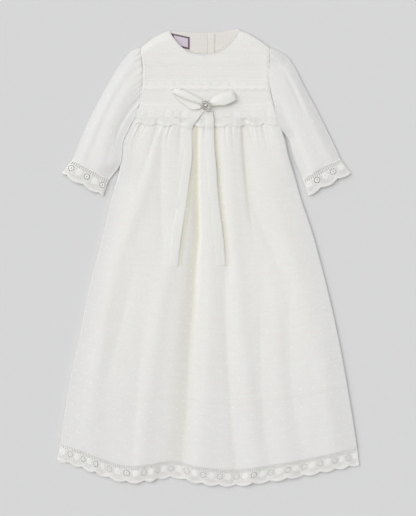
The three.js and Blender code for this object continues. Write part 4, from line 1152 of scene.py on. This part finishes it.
# %% Help for threads and rolls
def sweep(bm, path, width, height, sides=4, closed=False):
    """A thread along path: a grid whose rows are wrapped into rings. Four sides give it a flat top."""
    count = len(path)
    spans = count if closed else count - 1
    made = bmesh.ops.create_grid(bm, x_segments=spans, y_segments=sides, size=0.5)["verts"]
    spread = 0.5 / math.cos(math.pi / sides)
    for vert in made:
        k = round((vert.co.x + 0.5) * spans) % count
        turn = 2 * math.pi * (vert.co.y + 0.5) + math.pi / sides
        before = path[k - 1] if closed or k > 0 else path[0]
        after = path[(k + 1) % count] if closed or k < count - 1 else path[-1]
        way = Vector((after[0] - before[0], after[1] - before[1], 0)).normalized()
        across = Vector((way.y, -way.x, 0)) * (math.cos(turn) * width * spread)
        vert.co = Vector(path[k]) + across + Vector((0, 0, math.sin(turn) * height * spread))
    bmesh.ops.remove_doubles(bm, verts=made, dist=1e-4)
    if not closed:
        edges = {edge for vert in made if vert.is_valid for edge in vert.link_edges if edge.is_boundary}
        bmesh.ops.holes_fill(bm, edges=list(edges), sides=sides)


def roll(name, path, width, height):
    """A roll of the lining's cloth along path."""
    bm = bmesh.new()
    sweep(bm, path, width, height, sides=8)
    for vert in bm.verts:
        vert.co = place(*vert.co)
    bmesh.ops.recalc_face_normals(bm, faces=bm.faces)
    bm.verts.layers.float.new("lined")
    bm.loops.layers.uv.new("cut")
    print(name, "faces", len(bm.faces))
    return finish_piece(name, bm, batiste, [])


# %% The armhole seams
ARMHOLE_STEPS = 60
ARMHOLE_END = 257


def armhole_path(word):
    path = []
    for k in range(ARMHOLE_STEPS + 1):
        y = mix(SHOULDER_Y - 1.5, ARMHOLE_END, k / ARMHOLE_STEPS)
        x = read(BODICE, "y", y, word) + (-0.3 if word == "left" else 0.3)
        path.append((x, y, mix(4.5, 5.7, ease(k, 0, 8)) + 0.12 * math.sin(k * 1.9)))
    return path


armhole_seams = [roll(f"armhole_seam_{word}", armhole_path(word), 2.6, 1.9) for word in ("left", "right")]

# %% [markdown]
# The skirt's front and back are joined at the sides by a seam that is pressed flat. It shows as a soft
# edge between the two panels.


# %% The skirt's side seams
SIDE_STEPS = 90
SIDE_SEAM_Z = 1.85


def side_path(word, top, foot, inward):
    path = []
    for k in range(SIDE_STEPS + 1):
        y = mix(top, foot, k / SIDE_STEPS)
        path.append((read(SKIRT, "y", y, word) + inward, y, SIDE_SEAM_Z))
    return path


side_seams = [
    roll(f"skirt_seam_{word}", side_path(word, top, foot, inward), 1.5, 2.5)
    for word, top, foot, inward in (("left", 118.0, -322.0, 0.8), ("right", 150.0, -329.0, -0.8))
]

# %% [markdown]
# Lace edging repeats one short motif. The motif is made once in flat millimetres from swept threads:
# x runs along the lace, y down from its seam. Then copies are set side by side, and the whole strip is
# bent to its place, as a sewer eases lace along a hem.


# %% Paths for the lace's threads
def ring_path(cx, cy, radius, steps, z=0.0):
    turns = [2 * math.pi * k / steps for k in range(steps)]
    return [(cx + radius * math.cos(turn), cy - radius * math.sin(turn), z) for turn in turns]


def straight(start, stop, z=0.0, steps=2):
    shares = [k / steps for k in range(steps + 1)]
    return [(mix(start[0], stop[0], t), mix(start[1], stop[1], t), z) for t in shares]


print("points on a ring:", len(ring_path(0, 0, 5, 16)))

# %% [markdown]
# Under a ladder of bars lies a fine net, and in the net stands either a flower in an open ring or a
# solid pad. The net's rows bend with the scalloped edge below. A thread stops where it meets a motif,
# so the ring stays open and the ground beneath it shows.

# %% The ladder and the net
NET_PITCH = 1.43
BAR_PITCH = 3.6
LAP = 0.1
SMALLEST_GAP = 0.4


def sweep_ladder(bm, cell, ladder):
    for y, width in ((0.9, 1.8), (ladder, 1.2)):
        sweep(bm, straight((-LAP, y), (cell + LAP, y)), width, 0.7)
    bars = max(2, round(cell / BAR_PITCH))
    for k in range(bars):
        x = (k + 0.5) * cell / bars
        sweep(bm, straight((x, 1.5), (x, ladder - 0.4), steps=1), 0.6 * cell / bars, 0.6)
    for k in (1, 2):
        y = mix(1.8, ladder - 0.6, k / 3)
        sweep(bm, straight((-LAP, y), (cell + LAP, y), steps=1), 0.75, 0.45)


def half_gap(reach, off):
    """Half the length that a thread leaves open where it passes a motif of this reach."""
    gap = math.sqrt(max(reach ** 2 - off ** 2, 0))
    return gap if gap > SMALLEST_GAP else 0


def sweep_net(bm, cell, depth, ladder, centre, reach, edge_y, thread):
    middle = cell / 2
    rows = round((depth - ladder) / NET_PITCH)
    for k in range(1, rows):
        def row_y(x):
            return mix(ladder, edge_y(x) - 1.0, k / rows)

        gap = half_gap(reach, row_y(middle) - centre)
        for start, stop in ((-LAP, middle - gap), (middle + gap, cell + LAP)):
            path = [(x, row_y(x), 0) for x in (start, mix(start, stop, 0.5), stop)]
            sweep(bm, path, thread, 0.5)
    columns = round(cell / NET_PITCH)
    for k in range(columns):
        x = (k + 0.5) * cell / columns
        gap = half_gap(reach, x - middle)
        foot = edge_y(x) - 0.8
        ends = [(ladder, centre - gap), (centre + gap, foot)] if gap else [(ladder, foot)]
        for start, stop in ends:
            sweep(bm, straight((x, start), (x, stop), 0.05, 2), thread, 0.5)


print("net threads every", NET_PITCH, "mm")


# %% The two motifs
def sweep_rings(bm, spot, size, rings, steps, width):
    for radius, height in rings:
        sweep(bm, ring_path(*spot, radius * size, steps, 0.1), width * size, height, 4, closed=True)


def sweep_flower(bm, spot, size):
    """An open ring, a small flower in it and eight fine spokes between them."""
    sweep_rings(bm, spot, size, [(5.9, 0.9)], 18, 1.1)
    sweep_rings(bm, spot, size, [(3.2, 0.8), (1.8, 0.9)], 12, 1.6)
    for k in range(8):
        turn = math.pi * (k + 0.5) / 4
        start, stop = [
            (spot[0] + r * size * math.cos(turn), spot[1] + r * size * math.sin(turn)) for r in (3.6, 5.5)
        ]
        sweep(bm, straight(start, stop, 0.0, 1), 0.75 * size, 0.5)


def sweep_pad(bm, spot, size):
    """Rings one inside the other, so close that they make a solid pad."""
    sweep_rings(bm, spot, size, [(4.7, 0.8), (3.5, 0.9), (2.3, 1.0), (1.1, 1.0)], 16, 1.55)
    made = bmesh.ops.create_circle(bm, cap_ends=True, radius=1.2 * size, segments=8)["verts"]
    bmesh.ops.translate(bm, verts=made, vec=(*spot, 0.4))


bm = bmesh.new()
sweep_flower(bm, (0, 0), 1.0)
print("faces in a flower", len(bm.faces))
bm.free()

# %% One repeat of the lace
SCALLOP = 0.13
PICOT_PITCH = 2.9
RING_REACH, PAD_REACH = 5.7, 4.9


def lace_unit(ring, cell, depth, size, thread):
    """thread is the width of the net's threads in mm: the wider, the closer the net."""
    bm = bmesh.new()
    middle, centre, ladder = cell / 2, 0.44 * depth, 0.26 * depth

    def edge_y(x):
        turn = math.pi / 2 * (x / cell + (0.5 if ring else -0.5))
        return depth * (1 - SCALLOP * (1 - abs(math.cos(turn))))

    sweep_ladder(bm, cell, ladder)
    reach = (RING_REACH if ring else PAD_REACH) * size
    sweep_net(bm, cell, depth, ladder, centre, reach, edge_y, thread)
    (sweep_flower if ring else sweep_pad)(bm, (middle, centre), size)
    for lift, width in ((0.9, 1.35), (3.3, 0.9)):
        border = [(x, edge_y(x) - lift, 0.1) for x in (mix(-LAP, cell + LAP, k / 6) for k in range(7))]
        sweep(bm, border, width, 0.9)
    picots = max(3, round(cell / PICOT_PITCH))
    for k in range(picots):
        x = (k + 0.5) * cell / picots
        sweep(bm, ring_path(x, edge_y(x) - 0.2, 0.8, 6, 0.05), 0.7, 0.6, 4, closed=True)
    mesh = bpy.data.meshes.new("lace_unit")
    bm.to_mesh(mesh)
    bm.free()
    print("lace unit faces", len(mesh.polygons))
    return mesh


# %% Three kinds of lace
CELL = 14.35
LACE_DEPTH = 31.0


def lace_kind(cell, depth, size, thread):
    """The size of one repeat, and its mesh with a flower and with a pad."""
    return cell, depth, {ring: lace_unit(ring, cell, depth, size, thread) for ring in (True, False)}


wide_lace = lace_kind(CELL, LACE_DEPTH, 1.0, 0.8)
close_lace = lace_kind(CELL, LACE_DEPTH, 1.0, 0.9)
narrow_lace = lace_kind(8.04, 19.0, 0.52, 1.15)


# %% Set the repeats side by side and bend the strip
def edging(name, kind, cells, first_is_ring, warp, nodes, relief=1.0):
    """Cells side by side, bent by warp(s, v), which gives a point in mm."""
    cell, depth, units = kind
    bm = bmesh.new()
    for k in range(cells):
        start = len(bm.verts)
        bm.from_mesh(units[(k % 2 == 0) == first_is_ring])
        bm.verts.ensure_lookup_table()
        bmesh.ops.translate(bm, verts=bm.verts[start:], vec=(k * cell, 0, 0))
    for vert in bm.verts:
        x, y, z = warp(vert.co.x / cell, vert.co.y / depth)
        vert.co = place(x, y, z + relief * vert.co.z)
    bmesh.ops.recalc_face_normals(bm, faces=bm.faces)
    bm.loops.layers.uv.new("cut")
    piece = finish_piece(name, bm, lace_thread, nodes, smooth=False)
    print(name, "faces", len(piece.data.polygons))
    return piece


# %% [markdown]
# The hem's lace hangs from the skirt's lower edge and lies on the table. Where the skirt has its deep
# fold the lace is bunched, so a table says how the cells are shared out along the hem.

# %% The hem's lace
FRONT_CELLS, BACK_CELLS = 39, 36
HEM_DROP = 31.5
HEM_CELLS = {
    "cell": [0, 1.5, 7.5, 11.5, 15.5, 21.5, 33.5, 39],
    "along": [0, 0.04, 0.174, 0.29, 0.378, 0.542, 0.874, 1],
}


def hem_front_warp(s, v):
    t = clamp(s / FRONT_CELLS)
    along = read(HEM_CELLS, "cell", clamp(s, 0, FRONT_CELLS), "along")
    x, y = skirt_spot(along, 1, front_hem)
    lean = Vector((mix(-0.2, 0.05, t) + 0.1 * math.sin(7 * t), -1)).normalized() * HEM_DROP * v
    skirt = skirt_height(along, 1, x, y) - 0.9
    ripple = 0.8 * math.sin(2 * math.pi * s / 4 + 1.3 * math.sin(s)) * v
    z = mix(skirt, mix(1.6, skirt, 0.35), v) + ripple * clamp(skirt / 4)
    return x + lean.x, y + 0.6 + lean.y, max(z, 1.0)


hem_lace_front = edging(
    "hem_lace_front_edging", wide_lace, FRONT_CELLS, False, hem_front_warp, ["hem_lace_front"],
)


def hem_back_warp(s, v):
    t = clamp(s / BACK_CELLS)
    x, y = skirt_spot(t, 1, back_hem)
    lean = Vector((mix(-0.12, 0.05, t), -1)).normalized() * HEM_DROP * v
    return x + 1 - 2 * t + lean.x, y + 0.6 + lean.y, 0.6


hem_lace_back = edging(
    "hem_lace_back_edging", wide_lace, BACK_CELLS, False, hem_back_warp, ["hem_lace_back"],
)


# %% [markdown]
# Each cuff has the same lace, once on the front of the sleeve and once on the back.


# %% The cuffs' lace
CUFF_DROP = 32.4


def cuff_lace(name, table, side, front, node):
    outer = Vector((table["outer_x"][-1], table["outer_y"][-1]))
    inner = Vector((table["inner_x"][-1], table["inner_y"][-1]))
    left, right = (outer, inner) if side < 0 else (inner, outer)
    across = (right - left).normalized()
    down = Vector((across.y, -across.x))
    inset = 0.5 if front else 2.0
    length = (right - left).length
    cells = round((length - 2 * inset) / CELL)

    def warp(s, v):
        t = clamp(s / cells)
        fall = (down + across * 0.3 * (t - 0.5)).normalized() * CUFF_DROP * v
        spot = left + across * mix(inset, length - inset, s / cells) - down * 0.6 + fall
        round_off = (1 - abs(2 * t - 1) ** 3) ** 0.5
        z = mix(mix(2.2, 5.4, round_off), mix(1.9, 4.0, round_off), v) if front else 0.6
        return spot.x, spot.y, z

    return edging(name, wide_lace, cells, side < 0, warp, [node])


for side, table, word in ((-1, SLEEVE_LEFT, "left"), (1, SLEEVE_RIGHT, "right")):
    for front, face in ((True, "front"), (False, "back")):
        node = f"cuff_lace_{word}_{face}"
        cuff_lace(f"{node}_edging", table, side, front, node)


# %% [markdown]
# Two more laces lie on the gown: a wide one over the waist seam and a narrow one across the yoke. They
# rest on the highest cloth beneath them.


# %% The height of the cloth under the laces
LATTICE = 4.0
seats = {}


def front_height(x, y):
    if y > WAIST_Y:
        return bodice_height(x, y)
    left, right = read(SKIRT, "y", y, "left"), read(SKIRT, "y", y, "right")
    return skirt_height(clamp((x - left) / (right - left)), (WAIST_Y - y) / SKIRT_LENGTH, x, y)


def seat_at(i, j):
    """The highest cloth round a lattice point, worked out once."""
    if (i, j) not in seats:
        steps = (-2.5, 0, 2.5)
        seats[i, j] = max(front_height(i * LATTICE + dx, j * LATTICE + dy) for dx in steps for dy in steps)
    return seats[i, j]


def front_under(x, y):
    i, j = math.floor(x / LATTICE), math.floor(y / LATTICE)
    s, t = x / LATTICE - i, y / LATTICE - j
    above = mix(seat_at(i, j + 1), seat_at(i + 1, j + 1), s)
    below = mix(seat_at(i, j), seat_at(i + 1, j), s)
    return mix(below, above, t)


print("cloth under the knot", round(front_under(BROOCH_X, BROOCH_Y), 2), "mm up")

# %% The waist lace and the yoke lace
WAIST_CELLS, YOKE_CELLS = 16, 27
WAIST_DROP, YOKE_DROP = 39, 18.5


def waist_warp(s, v):
    t = clamp(s / WAIST_CELLS)
    x = mix(-116, 113, s / WAIST_CELLS)
    y = 269.5 - 2 * math.sin(math.pi * t)
    way = Vector((mix(-0.32, 0.29, t), -1)).normalized() * WAIST_DROP * v
    x, y = x + way.x, y + way.y
    return x, y, front_under(x, y) + 0.2


waist_lace = edging(
    "waist_lace_edging", close_lace, WAIST_CELLS, True, waist_warp, ["waist_lace"], relief=0.9,
)


def yoke_warp(s, v):
    x = mix(-111.5, 105.5, s / YOKE_CELLS)
    y = 312 - YOKE_DROP * v
    return x, y, front_under(x, y) + 0.15


yoke_lace = edging(
    "yoke_lace_edging", narrow_lace, YOKE_CELLS, True, yoke_warp, ["yoke_lace"], relief=0.75,
)
for _, _, units in (wide_lace, close_lace, narrow_lace):
    for unit in units.values():
        bpy.data.meshes.remove(unit)

# %% [markdown]
# Sewing shows as rows of small stitches. Each stitch is one short thread that rises out of the cloth and
# dips back. Rows run beside both armholes, along the neck, along two of the tucks, over the hem's tuck,
# along the placket, and where the waist and yoke laces are sewn on. The neckline itself is bound with a
# narrow roll of cloth.

# %% One row of stitches
STITCH, STITCH_GAP = 1.7, 0.9
STITCH_BULGE = 0.12


def stitch_row(name, path):
    """Stitches at an even pitch along path, a function of 0..1 that gives points in mm."""
    steps = 400
    points = [Vector(path(k / steps)) for k in range(steps + 1)]
    gone = [0.0]
    for here, there in zip(points, points[1:]):
        gone.append(gone[-1] + (there - here).length)
    bm = bmesh.new()
    count = int(gone[-1] / (STITCH + STITCH_GAP))

    def at(distance):
        k = max(next((i for i, so_far in enumerate(gone) if so_far >= distance), steps) - 1, 0)
        return points[k].lerp(points[k + 1], clamp((distance - gone[k]) / max(gone[k + 1] - gone[k], 1e-6)))

    for k in range(count):
        start = (k + 0.3) * (STITCH + STITCH_GAP)
        ends = [at(start), at(start + STITCH / 2), at(start + STITCH)]
        ends[1].z += STITCH_BULGE
        sweep(bm, [tuple(point) for point in ends], 0.42, 0.34)
    for vert in bm.verts:
        vert.co = place(*vert.co)
    bmesh.ops.recalc_face_normals(bm, faces=bm.faces)
    bm.loops.layers.uv.new("cut")
    finish_piece(name, bm, lace_thread, [])
    print(name, count, "stitches")


# %% The neck's binding
def on_front(x, y, lift=0.12):
    return x, y, front_height(x, y) + lift


binding_path = []
for k in range(61):
    x = NECK_MIDDLE - (NECK_REACH - 0.6) * math.cos(math.pi * k / 60)
    binding_path.append(on_front(x, neckline_y(x) - 0.5, -0.35))
roll("neck_binding", binding_path, 1.7, 1.4)


# %% Where the rows of stitches run
def neck_row(t):
    x = NECK_MIDDLE - (NECK_REACH - 1.5) * math.cos(math.pi * mix(0.03, 0.97, t))
    return on_front(x, neckline_y(x) - 2.4)


def armhole_row(word, inward):
    def row(t):
        y = mix(SHOULDER_Y - 4, WAIST_Y + 26, t)
        return on_front(read(BODICE, "y", y, word) + inward, y)
    return row


def across_bodice(y):
    def row(t):
        left, right = read(BODICE, "y", y, "left") + 3, read(BODICE, "y", y, "right") - 3
        return on_front(mix(left, right, t), y)
    return row


def hem_tuck_row(t):
    u = mix(0.03, 0.97, t)
    v = 1 - (TUCK_ABOVE_HEM + TUCK_DEPTH) / SKIRT_LENGTH
    x, y = skirt_spot(u, v, front_hem)
    return x, y, skirt_height(u, v, x, y) + 0.12


rows = [
    ("neck_stitches", neck_row),
    ("hem_tuck_stitches", hem_tuck_row),
    ("armhole_stitches_left", armhole_row("left", 3.2)),
    ("armhole_stitches_right", armhole_row("right", -3.2)),
    ("yoke_lace_stitches", across_bodice(311.2)),
    ("waist_lace_stitches", across_bodice(268.6)),
]
for k in range(1, BODICE_TUCKS - 1):
    rows.append((f"tuck_stitches_{k + 1}", across_bodice(FIRST_TUCK - k * TUCK_PITCH + 6)))
print("rows:", [name for name, _ in rows])

# %% Sew the rows
for name, row in rows:
    stitch_row(name, row)
stitch_row("placket_stitches", lambda t: (11.6, mix(390.5, 356.0, t), 2.75))
stitch_row("label_stitches", lambda t: (mix(-64.4, -32.2, t), mix(392.6, 385.6, t), 2.95))

# %% [markdown]
# The bow is one ribbon. Each loop runs out from the knot, turns over at its tip and comes back beneath.
# A few sections across the ribbon are given, and the grid follows them smoothly.

# %% The paths of the bow's loops
RIBBON_WIDTH = 16
LOOP_LEFT = {
    "t": [0, 1, 2, 3, 4, 5, 6, 7, 8],
    "upper_x": [-9, -24, -40, -53, -58.5, -55, -42, -27, -12],
    "upper_y": [275, 283, 290.5, 294.5, 293.5, 291, 284.5, 277, 270.5],
    "lower_x": [-10.8, -26, -43, -56, -60, -54.5, -40.5, -28, -12],
    "lower_y": [266.5, 272.5, 279, 285, 286.5, 279, 267.5, 259, 260.5],
    "z": [11.6, 12.4, 12.6, 11.8, 10.2, 9.3, 9.1, 9.2, 9.8],
}
LOOP_RIGHT = {
    "t": [0, 1, 2, 3, 4, 5, 6, 7, 8],
    "upper_x": [4.5, 17, 31, 41, 44.5, 41, 29, 16, 4.5],
    "upper_y": [276.5, 284, 288.5, 290.5, 290, 289, 286, 281, 272],
    "lower_x": [4.5, 16, 32, 46, 51.5, 46, 30, 15.5, 4.5],
    "lower_y": [264, 265.5, 266.5, 273, 276, 273.5, 268, 267, 263],
    "z": [11.8, 13.5, 14.3, 13.6, 11.4, 9.7, 9.2, 9.2, 9.8],
}
print("left loop's tip at", LOOP_LEFT["upper_x"][4], LOOP_LEFT["upper_y"][4])


# %% The bow's loops
def loop_spot(table):
    def spot(u, v):
        row = {key: read(table, "t", 8 * v, key) for key in table if key != "t"}
        crown = 0.9 * math.sin(math.pi * u) * (1 if v < 0.5 else -0.6)
        pucker = 0.7 * math.cos(3 * math.pi * u) * clamp(1 - 6 * v)
        return (
            mix(row["upper_x"], row["lower_x"], u),
            mix(row["upper_y"], row["lower_y"], u),
            row["z"] + crown + pucker,
        )

    return spot


def ribbon(part, columns, rows, spot, length):
    """A stretch of the ribbon, whose cut is length mm long."""
    return cloth(
        f"bow_{part}_ribbon", columns, rows, spot, lambda u, v: ((u - 0.5) * RIBBON_WIDTH, -length * v),
        satin, [f"bow_{part}"], thick=0.4,
    )


loop_left = ribbon("loop_left", 12, 64, loop_spot(LOOP_LEFT), 105)
loop_right = ribbon("loop_right", 12, 64, loop_spot(LOOP_RIGHT), 115)

# %% [markdown]
# The tails fall from the knot and lie on the skirt. They follow the folds beneath only loosely, because
# satin is stiffer than cotton.

# %% The bow's tails
LACE_UNDER_TAIL = 2.2


def tail_spot(table, stand_off):
    """The right edge of a tail stands off the skirt, because the knot twists the ribbon."""

    def spot(u, v):
        y = mix(table["y"][0], table["y"][-1], v)
        x = mix(read(table, "y", y, "left"), read(table, "y", y, "right"), u)
        lace = LACE_UNDER_TAIL * ease(y, 222, 232)
        seat = max(front_under(x, y + step) for step in (-4, 0, 4)) - 0.3
        stand = stand_off * u ** 1.6 * (0.8 + 0.2 * math.sin(y / 23))
        return x, y, seat + lace + 0.4 + stand + 0.2 * math.sin(y / 19)

    return spot


tail_left = ribbon("tail_left", 8, 70, tail_spot(TAIL_LEFT, 0.25), 280)
tail_right = ribbon("tail_right", 8, 70, tail_spot(TAIL_RIGHT, 0.3), 272)

# %% [markdown]
# The knot is a short band of the same ribbon, pleated where it is pulled tight. It is spun from a small
# profile, and its pleats are pushed in afterwards.

# %% The knot
KNOT_STEPS = 36
PLEATS, PLEAT_DEPTH = 6, 0.035
bm = bmesh.new()
profile = [(0.5, 10.6), (6.2, 10.6), (7.2, 11.8), (7.2, 14.0), (5.8, 15.4), (0.5, 15.7)]
verts = [bm.verts.new((r, 0, z)) for r, z in profile]
edges = [bm.edges.new(pair) for pair in zip(verts, verts[1:])]
bmesh.ops.spin(
    bm, geom=verts + edges, cent=(0, 0, 0), axis=(0, 0, 1), angle=2 * math.pi, steps=KNOT_STEPS,
    use_merge=True,
)
for vert in bm.verts:
    turn = math.atan2(vert.co.y, vert.co.x)
    vert.co.xy *= 1 + PLEAT_DEPTH * math.cos(PLEATS * turn)
    vert.co = place(vert.co.x + BROOCH_X, vert.co.y + BROOCH_Y, vert.co.z)
bmesh.ops.holes_fill(bm, edges=[edge for edge in bm.edges if edge.is_boundary], sides=60)
bmesh.ops.recalc_face_normals(bm, faces=bm.faces)
bm.loops.layers.uv.new("cut")
print("knot faces", len(bm.faces))
finish_piece("bow_knot_ribbon", bm, satin, ["bow_knot"])

# %% [markdown]
# The brooch is a silver disc with a beaded rim, one stone in the middle and a ring of smaller ones.
# Every stone is a little cut gem: a flat table, slanting facets and a girdle.


# %% Help for turned parts
def lathe(bm, profile, x, y, steps):
    """A small turned part: the profile's radii and heights, spun about a point."""
    verts = [bm.verts.new((x + r, y, z)) for r, z in profile]
    edges = [bm.edges.new(pair) for pair in zip(verts, verts[1:])]
    bmesh.ops.spin(
        bm, geom=verts + edges, cent=(x, y, 0), axis=(0, 0, 1), angle=2 * math.pi, steps=steps,
        use_merge=True,
    )


def closed_piece(name, bm, material, nodes, smooth):
    """Merge the poles, turn the faces outwards and put the part in its place."""
    bmesh.ops.remove_doubles(bm, verts=bm.verts, dist=1e-4)
    bmesh.ops.recalc_face_normals(bm, faces=bm.faces)
    for vert in bm.verts:
        vert.co = place(*vert.co)
    bm.loops.layers.uv.new("cut")
    print(name, "faces", len(bm.faces))
    finish_piece(name, bm, material, nodes, smooth)


# %% The brooch's setting and its beaded rim
BEADS, BEAD_RADIUS = 30, 0.72
RIM_RADIUS = 8
bm = bmesh.new()
setting = [(0, 16.2), (7.9, 16.2), (8.6, 16.7), (8.4, 17.6), (7.4, 17.9), (7.2, 17.5), (0, 17.5)]
lathe(bm, setting, BROOCH_X, BROOCH_Y, 40)
for k in range(BEADS):
    turn = 2 * math.pi * k / BEADS
    x, y = BROOCH_X + RIM_RADIUS * math.cos(turn), BROOCH_Y + RIM_RADIUS * math.sin(turn)
    spot = Matrix.Translation((x, y, 17.8))
    bmesh.ops.create_uvsphere(bm, u_segments=6, v_segments=4, radius=BEAD_RADIUS, matrix=spot)
closed_piece("brooch_setting", bm, silver, ["brooch_base"], True)


# %% The brooch's stones
SMALL_STONES = 9
STONE_SEAT = 17.7


def gem(bm, radius, x, y):
    """Radii and heights of a gem of radius 1: its seat, its girdle and its table."""
    shape = [(0, 0), (0.6, 0), (1.0, 0.45), (0.98, 0.55), (0.55, 0.95), (0, 0.95)]
    lathe(bm, [(r * radius, STONE_SEAT + z * radius) for r, z in shape], x, y, 8)


bm = bmesh.new()
gem(bm, 3.0, BROOCH_X, BROOCH_Y)
for k in range(SMALL_STONES):
    turn = 2 * math.pi * k / SMALL_STONES
    gem(bm, 1.65, BROOCH_X + 5.3 * math.cos(turn), BROOCH_Y + 5.3 * math.sin(turn))
closed_piece(
    "brooch_stones", bm, stone_glass,
    ["brooch_stone_centre"] + [f"brooch_stone_{k}" for k in range(1, 7)], False,
)

# %% [markdown]
# Last comes the size of the largest cut. The laces and the rolls of cloth are sewn to the cloth pieces.

print("the largest cut is 524 x 630 mm")

# %% [markdown] The visual model has to keep the CAD model's size.
